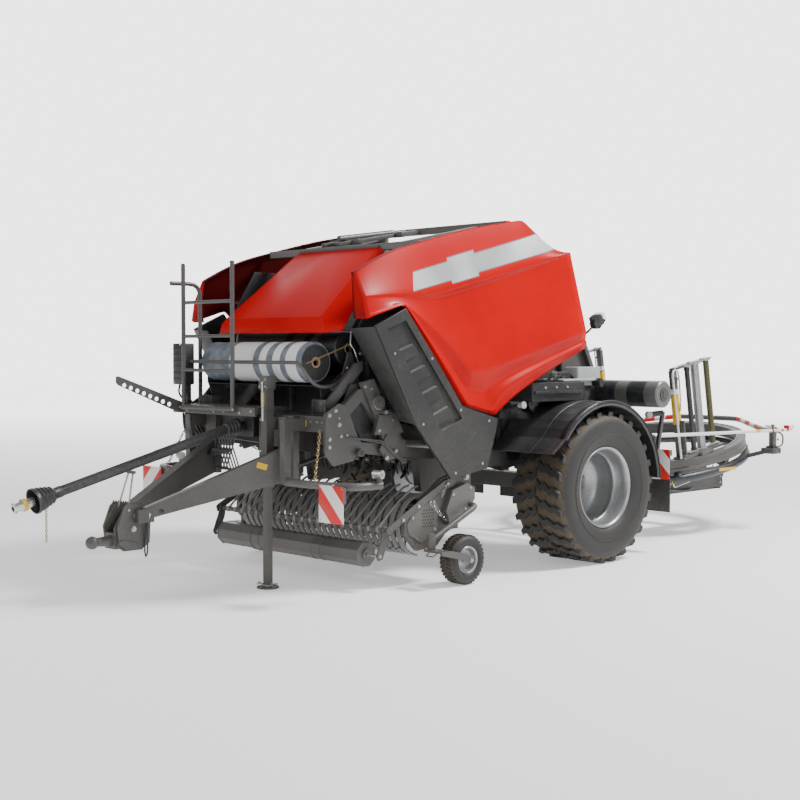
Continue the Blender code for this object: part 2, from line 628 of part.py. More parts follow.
def pickup():
    raise_pivot = pivot("pickup_pivot", 0, PIVOT_Y, PIVOT_Z)
    plate_out = PICKUP_HALF + 0.04
    cheek = [(-1.40, 0.90), (-1.52, 0.90), (-1.75, 0.84), (-2.02, 0.64), (-2.16, 0.54), (-2.16, 0.42),
             (-2.02, 0.28), (-1.80, 0.30), (-1.58, 0.50), (-1.40, 0.74)]
    beam_y, beam_z = (-1.62, -1.54), (0.42, 0.50)
    pieces = []
    for side in (-1, 1):
        pieces.append(plate(cheek, 0.04, side * (PICKUP_HALF + 0.02)))
        leg = [(side * (plate_out - 0.01), -1.47, 0.62), (side * CASTOR_X, -1.45, 0.61),
               (side * CASTOR_X, CASTOR_Y, 0.37)]
        pieces.append(tube(leg, 0.022, 0.06))
        pieces.append(rod((side * CASTOR_X, CASTOR_Y, CASTOR_Z), (side * CASTOR_X, CASTOR_Y, 0.42), 0.032,
                          16))
    part("pickup_frame", FRAME_GREY, box((-plate_out + 0.01, plate_out - 0.01), beam_y, beam_z), *pieces,
         parent=raise_pivot)
    reach = PICKUP_HALF - GAP
    skin = arc(REEL_Y, REEL_Z, BAND_RADIUS, 262, 55, 16) + [(-1.64, 0.64)]
    part("pickup_bands", FRAME_GREY, plate(strip(skin, 0.008), 2 * reach, 0), parent=raise_pivot)
    reel = pivot("reel_axis", 0, REEL_Y, REEL_Z, raise_pivot)
    bars = []
    for i in range(4):
        a = math.radians(45 + 90 * i)
        y, z = REEL_Y + 0.13 * math.cos(a), REEL_Z + 0.13 * math.sin(a)
        bars.append(rod((-1.0, y, z), (1.0, y, z), 0.012, 6))
    discs = [rod((x - 0.005, REEL_Y, REEL_Z), (x + 0.005, REEL_Y, REEL_Z), 0.16, 12) for x in (-0.98, 0.98)]
    part("pickup_reel", DARK, rod((-reach, REEL_Y, REEL_Z), (reach, REEL_Y, REEL_Z), 0.03), *bars, *discs,
         parent=reel)
    for side, name in ((1, "left"), (-1, "right")):
        gauge(side, name, raise_pivot)
    windguard(raise_pivot)


def gauge(side, name, raise_pivot):
    swivel = pivot("castor_" + name + "_swivel", side * CASTOR_X, CASTOR_Y, CASTOR_Z, raise_pivot)
    arm_in = GAUGE_X + GAUGE_WIDTH / 2 + RUNNING
    arm = [(-2.03, 0.27), (-2.03, CASTOR_Z - GAP), (-1.92, CASTOR_Z - GAP), (-1.66, 0.235), (-1.66, 0.175),
           (-1.90, 0.24)]
    x = sorted((side * (CASTOR_X - 0.04), side * (arm_in + 0.012)))
    lug = box(x, (-2.03, -1.925), (CASTOR_Z - 0.016, CASTOR_Z - GAP))
    stub = rod((side * (arm_in + 0.01), GAUGE_Y, GAUGE_RADIUS),
               (side * (GAUGE_X + 0.045 + GAP), GAUGE_Y, GAUGE_RADIUS), 0.016)
    part("castor_" + name, FRAME_GREY, plate(arm, 0.012, side * (arm_in + 0.006)), lug, stub, parent=swivel)
    spin = pivot("gauge_" + name + "_axis", side * GAUGE_X, GAUGE_Y, GAUGE_RADIUS, swivel)
    half = GAUGE_WIDTH / 2
    low, high = GAUGE_X - half, GAUGE_X + half
    hub = 0.045
    wheel = turned([(0, GAUGE_X + hub), (0.032, GAUGE_X + hub), (0.036, GAUGE_X + 0.02),
                    (0.095, GAUGE_X + 0.02),
                    (0.11, high - 0.008), (0.16, high), (GAUGE_RADIUS, high - 0.05),
                    (GAUGE_RADIUS, low + 0.05),
                    (0.16, low), (0.11, low + 0.008), (0.095, GAUGE_X - 0.02), (0.036, GAUGE_X - 0.02),
                    (0.032, GAUGE_X - hub), (0, GAUGE_X - hub)], 20, sideways(side, GAUGE_Y, GAUGE_RADIUS))
    part("gauge_wheel_" + name, RUBBER, wheel, parent=spin)


def windguard(raise_pivot):
    hinge = pivot("windguard_hinge", 0, GUARD_HINGE_Y, GUARD_HINGE_Z, raise_pivot)
    bar_y, bar_z = -2.33, 0.47
    arms = []
    for side in (-1, 1):
        route = [(side * 1.02, GUARD_HINGE_Y, GUARD_HINGE_Z), (side * 1.02, -1.95, 0.80),
                 (side * 1.02, -2.28, 0.60),
                 (side * 1.02, bar_y, bar_z), (side * 1.02, GUARD_ROLLER_Y, GUARD_ROLLER_Z)]
        arms.append(tube(route, 0.018, 0.04))
        arms.append(rod((side * 0.99, GUARD_HINGE_Y, GUARD_HINGE_Z),
                        (side * (PICKUP_HALF - GAP), GUARD_HINGE_Y, GUARD_HINGE_Z), 0.022))
    part("windguard", DARK, rod((-1.02, bar_y, bar_z), (1.02, bar_y, bar_z), 0.02), *arms, parent=hinge)
    spin = pivot("windguard_roller_axis", 0, GUARD_ROLLER_Y, GUARD_ROLLER_Z, hinge)
    stub = rod((-1.0017, GUARD_ROLLER_Y, GUARD_ROLLER_Z), (1.0017, GUARD_ROLLER_Y, GUARD_ROLLER_Z), 0.014)
    part("windguard_roller", DARK,
         rod((-0.918, GUARD_ROLLER_Y, GUARD_ROLLER_Z), (0.918, GUARD_ROLLER_Y, GUARD_ROLLER_Z), 0.10, 8),
         stub,
         parent=spin)


def feed_rotor():
    y, z = -1.40, 0.98
    axis = pivot("rotor_axis", 0, y, z)
    reach = RAIL_IN - GAP
    stars = [rod((x - 0.008, y, z), (x + 0.008, y, z), 0.23, 6) for x in (-0.54, -0.27, 0, 0.27, 0.54)]
    part("feed_rotor", DARK, rod((-reach, y, z), (reach, y, z), 0.09, 14), *stars, parent=axis)


def gearbox():
    part("gearbox", DARK, box((-0.15, 0.15), (-2.93, BEAM_FRONT - GAP), (1.19, BEAM_TOP - 0.017)),
         rod((0, -2.92, SHAFT_Z), (0, SHAFT_Y + 0.025, SHAFT_Z), 0.03))


def drive_shaft():
    swing = pivot("shaft_pitch", 0, SHAFT_Y, SHAFT_Z)
    fall = math.tan(SHAFT_DROP)

    def on_axis(y):
        return (0, y, SHAFT_Z + fall * (y - SHAFT_Y))

    cone_back, cone_front = -4.66, -4.80
    pieces = [rod(on_axis(SHAFT_Y - 0.005), on_axis(-3.10), 0.06, 16, 0.05),
              rod(on_axis(cone_back), on_axis(cone_front), 0.06, 20, 0.095)]
    part("pto_guard", PLASTIC, rod(on_axis(-3.05), on_axis(cone_back - 0.01), 0.0385, 16), *pieces,
         parent=swing)
    yoke_back = cone_front - GAP
    spin = pivot("yoke_spin", 0, cone_front, on_axis(cone_front)[2], swing)
    reach = 0.035
    tip = -FRONT_REACH + reach * math.sin(SHAFT_DROP)
    part("pto_yoke", SILVER, rod(on_axis(yoke_back), on_axis(tip), reach, 16), parent=spin)


def fender(side, name):
    hoop = arc(0, TYRE_RADIUS, FENDER_RADIUS, 3, 143, 18)
    end = hoop[-1]
    route = hoop + [(end[0] - 0.17, end[1] - 0.12)]
    inner = RAIL_OUT + GAP
    outer = TRACK_HALF + TYRE_WIDTH / 2
    middle = (inner + outer) / 2
    skin = plate(strip(route[::-1], FENDER_SHEET), outer - inner, side * middle)
    apron = arc(0, TYRE_RADIUS, FENDER_RADIUS + 0.002, 20, 143, 14) + [(-0.55, 0.90), (0.65, 0.90)]
    wall = plate(apron, 0.012, side * (inner + 0.006))
    part(name, PLASTIC, skin, wall)


def side_boxes():
    shelf_z = TYRE_RADIUS + FENDER_RADIUS + FENDER_SHEET + GAP
    for side, name in ((1, "left"), (-1, "right")):
        part("valve_box_" + name, PLASTIC, box(sorted((side * 0.78, side * 1.10)), (-0.62, 0.10),
                                               (shelf_z, 1.60)))
    part("oil_tank", TANK, box((0.86, 1.02), (0.10 + GAP, 0.42), (1.56, 1.73)),
         box((0.80, 1.06), (-0.15, 0.40), (1.60 + GAP, 1.625)))
    for side, name in ((1, "left"), (-1, "right")):
        start = RAIL_IN + 0.05 + GAP
        end = 1.43
        roll = turned([(SPARE_RADIUS, end), (SPARE_RADIUS, start), (0.038, start), (0.038, end)], 24,
                      sideways(side, SPARE_Y, SPARE_Z), closed=True)
        part("spare_roll_" + name, FILM, roll)


def in_ring(u, v, w):
    """Point in the tilted ring frame: u left, v rearwards, w up its axis; y from the axle."""
    c, s = math.cos(RING_TILT), math.sin(RING_TILT)
    return (u, RING_Y + v * c - w * s, RING_Z + v * s + w * c)


def wrapper():
    ring_place = Matrix.Translation(point((0, RING_Y, RING_Z))) @ Matrix.Rotation(RING_TILT, 4, "X")
    spin = pivot("ring_axis", 0, RING_Y, RING_Z)
    ring = turned([(RING_OUT, 0), (RING_OUT, -RING_DEPTH), (RING_IN, -RING_DEPTH), (RING_IN, 0)], 48,
                  ring_place,
                  closed=True)
    part("wrap_ring", FRAME_GREY, ring, parent=spin)
    for side, name in ((1, "left"), (-1, "right")):
        prestretch(side, name, spin)
    hoop = []
    for i in range(28):
        a = 2 * math.pi * i / 28
        hoop.append(in_ring(CARRIER_RADIUS * math.sin(a), CARRIER_RADIUS * math.cos(a), -CARRIER_DROP))
    low = (0.38, 0.47)
    pieces = [box((-0.74, 0.74), (RAIL_BACK + GAP, 1.06), (0.36, 0.46))]
    for side in (-1, 1):
        pieces.append(box(sorted((side * 0.46, side * 0.54)), (1.03, 3.16), low))
        pieces.append(box(sorted((side * RAIL_IN, side * RAIL_OUT)), (RAIL_BACK + GAP, 1.055),
                          (0.37, RAIL_TOP)))
        pieces.append(beam((side * 0.50, 3.12, 0.42), in_ring(side * 0.50, 0.95, -CARRIER_DROP - 0.01),
                           0.06, 0.06))
        for v in (-0.62, 0.62):
            pieces.append(beam(in_ring(side * 0.884, v, -CARRIER_DROP),
                               in_ring(side * 0.884, v, -RING_DEPTH - GAP),
                               0.05, 0.05))
        for y in (1.95, 2.95):
            pieces.append(box(sorted((side * 0.50, side * 0.66)), (y - 0.03, y + 0.03), (0.40, 0.46)))
        bearing = [(1.90, 0.42), (1.90, 0.50), (2.05, 0.64), (2.85, 0.64), (3.00, 0.50), (3.00, 0.42)]
        pieces.append(plate(bearing, 0.02, side * 0.66))
        pieces.append(beam(in_ring(side * 0.99, 0.42, -CARRIER_DROP), (side * GUARD_ROD_X, 3.05, 0.84),
                           0.05, 0.04))
        pieces.append(box(sorted((side * 1.19, side * 1.28)), (3.00, 3.09), (0.83, 0.88)))
    part("ring_carrier", DARK, tube(hoop, CARRIER_TUBE, closed=True), *pieces)
    for y, name in ((2.18, "front"), (2.72, "rear")):
        z = TABLE_ROLLER_Z
        axis = pivot("table_roller_" + name + "_axis", 0, y, z)
        stub = rod((-0.65 + GAP, y, z), (0.65 - GAP, y, z), 0.02)
        part("table_roller_" + name, DARK, rod((-0.62, y, z), (0.62, y, z), 0.085, 16), stub, parent=axis)
    bow = [(-1.24, 3.10, 1.04), (-0.95, 3.32, 1.03), (-0.40, 3.70, 1.11), (0.40, 3.70, 1.11),
           (0.95, 3.32, 1.03),
           (1.24, 3.10, 1.04)]
    pad = box((-0.06, 0.06), (3.69, REAR_REACH), (1.09, 1.13))
    rails = []
    for side in (-1, 1):
        rails.append(rod((side * GUARD_ROD_X, 0.95, 1.075), (side * GUARD_ROD_X, 3.40, 1.035), 0.016))
        rails.append(box(sorted((side * 1.21, side * 1.27)), (0.93, 0.97), (0.955 + GAP, 1.09)))
        rails.append(box(sorted((side * 1.21, side * 1.27)), (3.02, 3.08), (0.88 + GAP, 1.04)))
    part("rear_guard", WHITE, tube(bow, 0.028, 0.12), pad, *rails)


def prestretch(side, name, spin):
    """Pre-stretch unit: mast, foot and head plates with the rollers between them."""
    height = 0.92

    def spot(u, v, w):
        return in_ring(side * u, side * v, w)

    def upright(u, v, low, high, radius):
        return rod(spot(u, v, low), spot(u, v, high), radius, 12)

    foot = beam(spot(0.94, -0.66, 0.02), spot(0.94, 0.06, 0.02), 0.13, 0.03)
    head = beam(spot(0.93, -0.63, height), spot(0.91, 0.05, height), 0.06, 0.025)
    mast = beam(spot(0.92, -0.60, 0.01), spot(0.92, -0.60, height), 0.07, 0.05)
    rollers = [upright(0.93, -0.37, 0.02, height, 0.026), upright(0.93, -0.235, 0.02, height, 0.042),
               upright(0.91, 0.0, 0.02, height, 0.03)]
    seat = beam(spot(1.02, -0.40, 0.0153), spot(1.02, -0.20, 0.0153), 0.06, 0.03)
    part("prestretch_" + name, ALLOY, foot, head, mast, seat, *rollers, parent=spin)


axle()
main_wheel(1, "wheel_left")
main_wheel(-1, "wheel_right")
chassis()
drawbar()
hitch()
jack()
boards()
platform()
ladder()
net_box()
chamber()
tailgate()
side_panel(1, "side_panel_left")
side_panel(-1, "side_panel_right")
shield(1, "shield_left")
shield(-1, "shield_right")
hood()
pickup()
feed_rotor()
gearbox()
drive_shaft()
fender(1, "fender_left")
fender(-1, "fender_right")
side_boxes()
wrapper()
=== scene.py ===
"""Trailed round baler with a bale wrapper behind it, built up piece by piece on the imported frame."""
import math

import bmesh
import bpy
from mathutils import Matrix, Vector


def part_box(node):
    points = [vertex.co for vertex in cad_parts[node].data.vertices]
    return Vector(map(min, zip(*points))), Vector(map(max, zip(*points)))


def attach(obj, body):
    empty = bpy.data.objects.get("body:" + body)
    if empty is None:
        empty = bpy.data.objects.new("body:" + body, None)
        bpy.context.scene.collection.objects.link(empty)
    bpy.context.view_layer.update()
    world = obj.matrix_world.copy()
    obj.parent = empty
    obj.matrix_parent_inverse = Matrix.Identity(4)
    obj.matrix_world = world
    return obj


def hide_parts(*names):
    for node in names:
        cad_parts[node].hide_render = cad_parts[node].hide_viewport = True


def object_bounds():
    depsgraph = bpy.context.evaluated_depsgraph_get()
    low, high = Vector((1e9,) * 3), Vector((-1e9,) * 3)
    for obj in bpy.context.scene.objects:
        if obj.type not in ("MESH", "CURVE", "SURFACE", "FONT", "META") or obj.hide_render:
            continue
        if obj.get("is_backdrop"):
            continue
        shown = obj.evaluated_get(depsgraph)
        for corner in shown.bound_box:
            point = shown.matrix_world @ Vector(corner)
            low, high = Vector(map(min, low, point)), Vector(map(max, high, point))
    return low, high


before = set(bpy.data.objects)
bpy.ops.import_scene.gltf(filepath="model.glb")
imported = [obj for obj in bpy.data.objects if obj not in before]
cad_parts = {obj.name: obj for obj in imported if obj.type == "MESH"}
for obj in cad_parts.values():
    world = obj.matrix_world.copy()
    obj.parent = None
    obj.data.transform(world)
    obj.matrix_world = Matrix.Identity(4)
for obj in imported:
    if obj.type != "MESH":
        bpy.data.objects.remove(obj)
cad_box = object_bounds()

# Camera: a photographer standing ahead of the machine's left front corner, at about head height,
# with a short telephoto lens that takes in the whole machine.
lens = bpy.data.cameras.new("camera")
lens.lens = 61.95
lens.sensor_width = 36
camera = bpy.data.objects.new("camera", lens)
camera.location = (8.921, -9.089, 1.903)
camera.rotation_euler = (math.radians(87.837), 0, math.radians(46.231))
bpy.context.scene.collection.objects.link(camera)
bpy.context.scene.camera = camera

# Studio: a large plain pale floor that glows by itself, faintly near the machine and brighter towards the
# backdrop, one strong soft lamp high behind the machine's left side, and two weaker ones at its left front
# corner and ahead of it.
axle_y = (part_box("axle_beam")[0][1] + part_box("axle_beam")[1][1]) / 2


def at(x, y, z):
    """Point in the row frame, with y counted from the main axle."""
    return Vector((x, axle_y + y, z))


backdrop = (-0.722, 0.692, 0)
ground = bmesh.new()
bmesh.ops.create_grid(ground, x_segments=1, y_segments=1, size=60)
ground_mesh = bpy.data.meshes.new("studio_floor")
ground.to_mesh(ground_mesh)
ground.free()
floor = bpy.data.objects.new("studio_floor", ground_mesh)
floor.location = (0, 0, -0.002)
floor_paint = bpy.data.materials.new("floor_white")
floor_paint.use_nodes = True
floor_tree = floor_paint.node_tree
floor_sockets = floor_tree.nodes["Principled BSDF"].inputs
floor_sockets["Base Color"].default_value = (0.86, 0.86, 0.87, 1)
floor_sockets["Roughness"].default_value = 0.9
# The floor glows by emission: its glow colour rises from dim near the machine to near white towards the
# backdrop.
floor_sockets["Emission Strength"].default_value = 3.0
place = floor_tree.nodes.new("ShaderNodeTexCoord")
beyond = floor_tree.nodes.new("ShaderNodeVectorMath")
beyond.operation = "DOT_PRODUCT"
beyond.inputs[1].default_value = backdrop
lift = floor_tree.nodes.new("ShaderNodeMapRange")
for socket, value in (("From Min", 4.0), ("From Max", 26.0), ("To Min", 0.13), ("To Max", 0.92)):
    lift.inputs[socket].default_value = value
floor_tree.links.new(place.outputs["Object"], beyond.inputs[0])
floor_tree.links.new(beyond.outputs["Value"], lift.inputs["Value"])
floor_tree.links.new(lift.outputs["Result"], floor_sockets["Emission Color"])
floor.data.materials.append(floor_paint)
bpy.context.scene.collection.objects.link(floor)
floor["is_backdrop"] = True
sky = bpy.data.worlds.new("studio_white")
sky.use_nodes = True
glow = sky.node_tree
glow.nodes["Background"].inputs["Color"].default_value = (1, 1, 1, 1)
aim = glow.nodes.new("ShaderNodeTexCoord")
toward = glow.nodes.new("ShaderNodeVectorMath")
toward.operation = "DOT_PRODUCT"
toward.inputs[1].default_value = backdrop
level = glow.nodes.new("ShaderNodeMapRange")
for socket, value in (("From Min", 0.80), ("From Max", 0.93), ("To Min", 0.36), ("To Max", 3.4)):
    level.inputs[socket].default_value = value
glow.links.new(aim.outputs["Generated"], toward.inputs[0])
glow.links.new(toward.outputs["Value"], level.inputs["Value"])
glow.links.new(level.outputs["Result"], glow.nodes["Background"].inputs["Strength"])
bpy.context.scene.world = sky
for name, power, size, spot in (("key", 2200, 2.5, (5, 5, 10)), ("fill", 260, 6, (10, -4, 5)),
                                ("front", 480, 6, (-2, -11, 7))):
    lamp = bpy.data.lights.new(name, "AREA")
    lamp.energy = power
    lamp.size = size
    light = bpy.data.objects.new(name, lamp)
    light.location = spot
    light.rotation_euler = (Vector((0, -0.5, 1.2)) - Vector(spot)).to_track_quat("-Z", "Y").to_euler()
    bpy.context.scene.collection.objects.link(light)


# Main tyres: wide flotation tyres of dusty black rubber with a zigzag tread, on silver painted
# steel wheels that are pressed, welded and bolted to the hubs.
class Wire:
    """A shader socket that plain sums can be written with."""

    def __init__(self, paint, port):
        self.paint = paint
        self.port = port

    def sum(self, operation, left, right):
        return self.paint.node("Math", {0: left, 1: right}, operation=operation)

    def __add__(self, other):
        return self.sum("ADD", self, other)

    __radd__ = __add__

    def __sub__(self, other):
        return self.sum("SUBTRACT", self, other)

    def __rsub__(self, other):
        return self.sum("SUBTRACT", other, self)

    def __mul__(self, other):
        return self.sum("MULTIPLY", self, other)

    __rmul__ = __mul__


class Paint:
    """One Principled material; node() adds any other node to it."""

    def __init__(self, name):
        self.material = bpy.data.materials.new(name)
        self.material.use_nodes = True
        self.tree = self.material.node_tree
        self.shader = self.tree.nodes["Principled BSDF"]
        self.place = self.node("TexCoord", output="Object")

    def join(self, port, value):
        if isinstance(value, Wire):
            self.tree.links.new(value.port, port)
        else:
            port.default_value = value

    def node(self, kind, inputs=None, output=0, **settings):
        added = self.tree.nodes.new("ShaderNode" + kind)
        for key, value in settings.items():
            setattr(added, key, value)
        for key, value in (inputs or {}).items():
            self.join(added.inputs[key], value)
        return Wire(self, added.outputs[output])

    def noise(self, scale, detail=4):
        return self.node("TexNoise", {"Vector": self.place, "Scale": scale, "Detail": detail})

    def part(self, letter):
        return self.node("SeparateXYZ", {0: self.place}, output=letter)

    def ramp(self, value, low, high):
        return self.node("MapRange", {"Value": value, "From Min": low, "From Max": high})

    def mix(self, factor, first, second):
        ends = {0: factor}
        for key, colour in ((6, first), (7, second)):
            ends[key] = colour if isinstance(colour, Wire) else (*colour, 1)
        return self.node("Mix", ends, output=2, data_type="RGBA")

    def bump(self, height, depth, strength=1.0):
        return self.node("Bump", {"Height": height, "Distance": depth, "Strength": strength})

    def wear(self, **sockets):
        for key, value in sockets.items():
            self.join(self.shader.inputs[key.replace("_", " ")], value)
        return self.material


def lathe(shape, profile, place, steps=64):
    """Turns a (radius, height) outline about the local Z axis of place."""
    knots = [shape.verts.new(place @ Vector((radius, 0, height))) for radius, height in profile]
    edges = [shape.edges.new(pair) for pair in zip(knots, knots[1:])]
    axis = place.to_3x3() @ Vector((0, 0, 1))
    bmesh.ops.spin(shape, geom=knots + edges, cent=place.translation, axis=axis, angle=2 * math.pi,
                   steps=steps, use_merge=True)


def piece(shape, name, body, paint, stands_for=(), edge=0.0, angle=40, shell=0.0):
    """Closes a bmesh into a finished piece that rides on a body."""
    bmesh.ops.remove_doubles(shape, verts=shape.verts, dist=0.00001)
    bmesh.ops.recalc_face_normals(shape, faces=shape.faces)
    mesh = bpy.data.meshes.new(name)
    shape.to_mesh(mesh)
    shape.free()
    mesh.materials.append(paint)
    mesh.polygons.foreach_set("use_smooth", [True] * len(mesh.polygons))
    mesh.set_sharp_from_angle(angle=math.radians(angle))
    made = bpy.data.objects.new(name, mesh)
    bpy.context.scene.collection.objects.link(made)
    if shell:
        wall = made.modifiers.new("wall", "SOLIDIFY")
        wall.thickness = shell
        wall.offset = 0
    if edge:
        soft = made.modifiers.new("edge", "BEVEL")
        soft.width = edge
        soft.segments = 2
        soft.limit_method = "ANGLE"
        soft.angle_limit = math.radians(35)
    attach(made, body)
    if stands_for:
        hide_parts(*stands_for)
    return made


def shaft(shape, start, end, radius, sides=20, end_radius=None):
    """Adds a round bar, or a cone, between two points."""
    start, end = Vector(start), Vector(end)
    run = end - start
    place = Matrix.Translation((start + end) / 2) @ run.to_track_quat("Z", "X").to_matrix().to_4x4()
    last = radius if end_radius is None else end_radius
    bmesh.ops.create_cone(shape, cap_ends=True, segments=sides, radius1=radius, radius2=last,
                          depth=run.length, matrix=place)


def pin(shape, reach, centre, radius, sides=20):
    """Adds a round bar that lies across the machine between two x values, on a (y, z) centre."""
    shaft(shape, at(reach[0], *centre), at(reach[1], *centre), radius, sides)


def bolt(shape, spot, axis, size=0.012):
    """Adds a washer and a hexagon head standing on a face."""
    spot, axis = Vector(spot), Vector(axis).normalized()
    shaft(shape, spot - axis * 0.002, spot + axis * size * 0.25, size * 1.25, 16)
    shaft(shape, spot, spot + axis * size * 0.95, size, 6)


field_dust = (0.17, 0.145, 0.115)


def dusty(name, colour, gloss=0.4, dust=0.3, grain=0.0004, scale=420, metal=0.0):
    """Paint or plastic with soft colour drift, field dust that gathers low down, and a fine grain."""
    paint = Paint(name)
    patches = paint.noise(2.1, 5)
    specks = paint.noise(38, 6)
    low = paint.ramp(paint.part("Z"), 1.9, 0.1)
    dirt = paint.ramp(patches * 0.55 + specks * 0.45 + low * 0.16, 0.50, 0.78) * dust
    deep = tuple(channel * 0.78 for channel in colour)
    tone = paint.mix(paint.ramp(patches, 0.35, 0.65), deep, colour)
    fine = paint.noise(scale, 3)
    return paint.wear(Base_Color=paint.mix(dirt, tone, field_dust),
                      Roughness=gloss + dirt * 0.4 + specks * 0.08,
                      Metallic=metal, Normal=paint.bump(fine, grain))


tyre_rubber = Paint("dusty_tyre")
depth = tyre_rubber.node("Attribute", output="Fac", attribute_name="tread")
crumbs = tyre_rubber.noise(55, 8)
mud = tyre_rubber.ramp(crumbs * 0.6 + (1 - depth) * 0.62, 0.66, 1.02)
rubber = tyre_rubber.mix(mud * 0.62, (0.024, 0.023, 0.022), (0.15, 0.112, 0.062))
tyre_rubber = tyre_rubber.wear(Base_Color=rubber, Roughness=0.62 + mud * 0.3,
                               Normal=tyre_rubber.bump(crumbs, 0.002))
tread_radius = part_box("tyre_left")[1][2] / 2
tyre_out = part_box("tyre_left")[1][0]
tyre_mid = (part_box("tyre_left")[0][0] + tyre_out) / 2
tyre_half = tyre_out - tyre_mid
rim_edge = 0.337


def outward(side, y, z):
    """Local Z along the axle line, outwards on this side of the machine."""
    return Matrix.Translation(at(0, y, z)) @ Matrix.Rotation(side * math.pi / 2, 4, "Y")


def tread_block(shape, place, radius, low, turn, width, spots):
    """One lug of a tread: a bar that zigzags across the crown through (height, lead) spots."""
    before = None
    for height, lead in spots:
        ring = []
        for r, half in ((low, width * 0.62), (radius, width * 0.5)):
            for sign in (-1, 1):
                a = turn + lead + sign * half / radius
                ring.append(shape.verts.new(place @ Vector((r * math.cos(a), r * math.sin(a), height))))
        ring = [ring[0], ring[1], ring[3], ring[2]]
        if before:
            for i in range(4):
                shape.faces.new((before[i], before[(i + 1) % 4], ring[(i + 1) % 4], ring[i]))
        else:
            shape.faces.new(ring)
        before = ring
    shape.faces.new(before[::-1])


def main_tyre(side, name):
    hub = outward(side, 0, tread_radius)
    shape = bmesh.new()
    base = tread_radius - 0.030
    flank = [(rim_edge, tyre_half - 0.066), (0.362, tyre_half - 0.062), (0.372, tyre_half - 0.045),
             (0.40, tyre_half - 0.034), (0.44, tyre_half - 0.012), (0.50, tyre_half - 0.002),
             (0.56, tyre_half - 0.001), (0.60, tyre_half - 0.014), (0.625, tyre_half - 0.035),
             (base, tyre_half - 0.065), (base + 0.004, tyre_half - 0.14)]
    profile = [(r, tyre_mid + h) for r, h in flank] + [(r, tyre_mid - h) for r, h in reversed(flank)]
    lathe(shape, profile, hub, 96)
    tread = shape.verts.layers.float.new("tread")
    count = 26
    for i in range(count):
        turn = 2 * math.pi * i / count
        for half, shift in ((1, 0.0), (-1, math.pi / count)):
            spots = [(tyre_mid + half * h, shift + lead) for h, lead in
                     ((0.004, 0.0), (0.055, 0.075), (0.10, 0.045), (0.155, 0.125), (0.20, 0.10),
                      (0.262, 0.165))]
            low = base - 0.004
            tread_block(shape, hub, tread_radius - 0.001, low, turn, 0.055, spots)
            a = turn + shift + 0.165
            lug = [hub @ Vector((r * math.cos(a + d), r * math.sin(a + d), tyre_mid + half * h))
                   for r, h in ((0.652, tyre_half - 0.048), (0.585, tyre_half - 0.010))
                   for d in (-0.045, 0.045)]
            root = [hub @ Vector((r * math.cos(a + d), r * math.sin(a + d), tyre_mid + half * h))
                    for r, h in ((0.60, tyre_half - 0.10), (0.56, tyre_half - 0.030)) for d in (-0.05,
                            0.05)]
            bmesh.ops.convex_hull(shape, input=[shape.verts.new(p) for p in lug + root])
    for vert in shape.verts[:]:
        local = hub.inverted() @ vert.co
        radius = math.hypot(local.x, local.y)
        vert[tread] = min(1.0, max(0.0, (radius - base - 0.004) / 0.02))
        if radius < 0.61:
            vert[tread] = 0.55
    for r, h in ((0.47, 0.002), (0.53, 0.0035)):
        for sign in (-1, 1):
            lathe(shape, [(r - 0.004, tyre_mid + sign * (tyre_half - 0.012)),
                          (r, tyre_mid + sign * (tyre_half - h)),
                          (r + 0.004, tyre_mid + sign * (tyre_half - 0.012))], hub, 96)
    piece(shape, "tyre_tread_" + name, "wheel_" + name, tyre_rubber, ("tyre_" + name,))


rim_silver = dusty("rim_silver", (0.42, 0.43, 0.44), 0.28, 0.35, metal=0.7, scale=200)
bolt_zinc = dusty("bolt_zinc", (0.55, 0.55, 0.52), 0.3, 0.3, metal=0.9, scale=300)
hub_grey = dusty("hub_grey", (0.13, 0.125, 0.12), 0.4, 0.45)


def main_rim(side, name):
    hub = outward(side, 0, tread_radius)
    shape = bmesh.new()
    out, inner = tyre_half - 0.050, -(tyre_half - 0.050)
    profile = [(0.0, 1.052), (0.085, 1.052), (0.095, 1.035), (0.14, 1.032), (0.165, 1.024), (0.205, 1.028),
               (0.235, 1.045), (0.262, 1.058), (0.288, 1.075), (0.304, 1.10), (0.312, 1.18), (0.318, 1.22),
               (0.305, 1.24), (0.305, 1.27), (0.322, 1.29), (0.330, 1.36), (0.333, tyre_mid + out - 0.02),
               (0.346, tyre_mid + out - 0.004), (0.357, tyre_mid + out), (0.362, tyre_mid + out - 0.006),
               (0.360, tyre_mid + out - 0.014), (0.3365, tyre_mid + out - 0.016),
               (0.3365, tyre_mid + inner + 0.016), (0.360, tyre_mid + inner + 0.014),
               (0.362, tyre_mid + inner + 0.004), (0.346, tyre_mid + inner + 0.002),
               (0.325, tyre_mid + inner + 0.03), (0.318, 0.99), (0.30, 1.02), (0.15, 0.998), (0.14, 0.972),
               (0.0, 0.972)]
    lathe(shape, profile, hub, 96)
    piece(shape, "rim_disc_" + name, "wheel_" + name, rim_silver, ("rim_" + name,))
    shape = bmesh.new()
    face = hub.to_3x3() @ Vector((0, 0, 1))
    for i in range(10):
        a = 2 * math.pi * i / 10
        bolt(shape, hub @ Vector((0.175 * math.cos(a), 0.175 * math.sin(a), 1.026)), face, 0.015)
        shaft(shape, hub @ Vector((0.175 * math.cos(a), 0.175 * math.sin(a), 1.02)),
              hub @ Vector((0.175 * math.cos(a), 0.175 * math.sin(a), 1.052)), 0.008, 10)
    shaft(shape, hub @ Vector((0.318, 0.0, 1.24)), hub @ Vector((0.285, 0, 1.30)), 0.006, 10)
    piece(shape, "rim_nuts_" + name, "wheel_" + name, bolt_zinc)
    shape = bmesh.new()
    lathe(shape, [(0, 1.13), (0.05, 1.13), (0.062, 1.118), (0.064, 1.07), (0.082, 1.062), (0.086, 1.05)],
          hub, 40)
    piece(shape, "hub_cap_" + name, "wheel_" + name, hub_grey)


for side, name in ((1, "left"), (-1, "right")):
    main_tyre(side, name)
    main_rim(side, name)


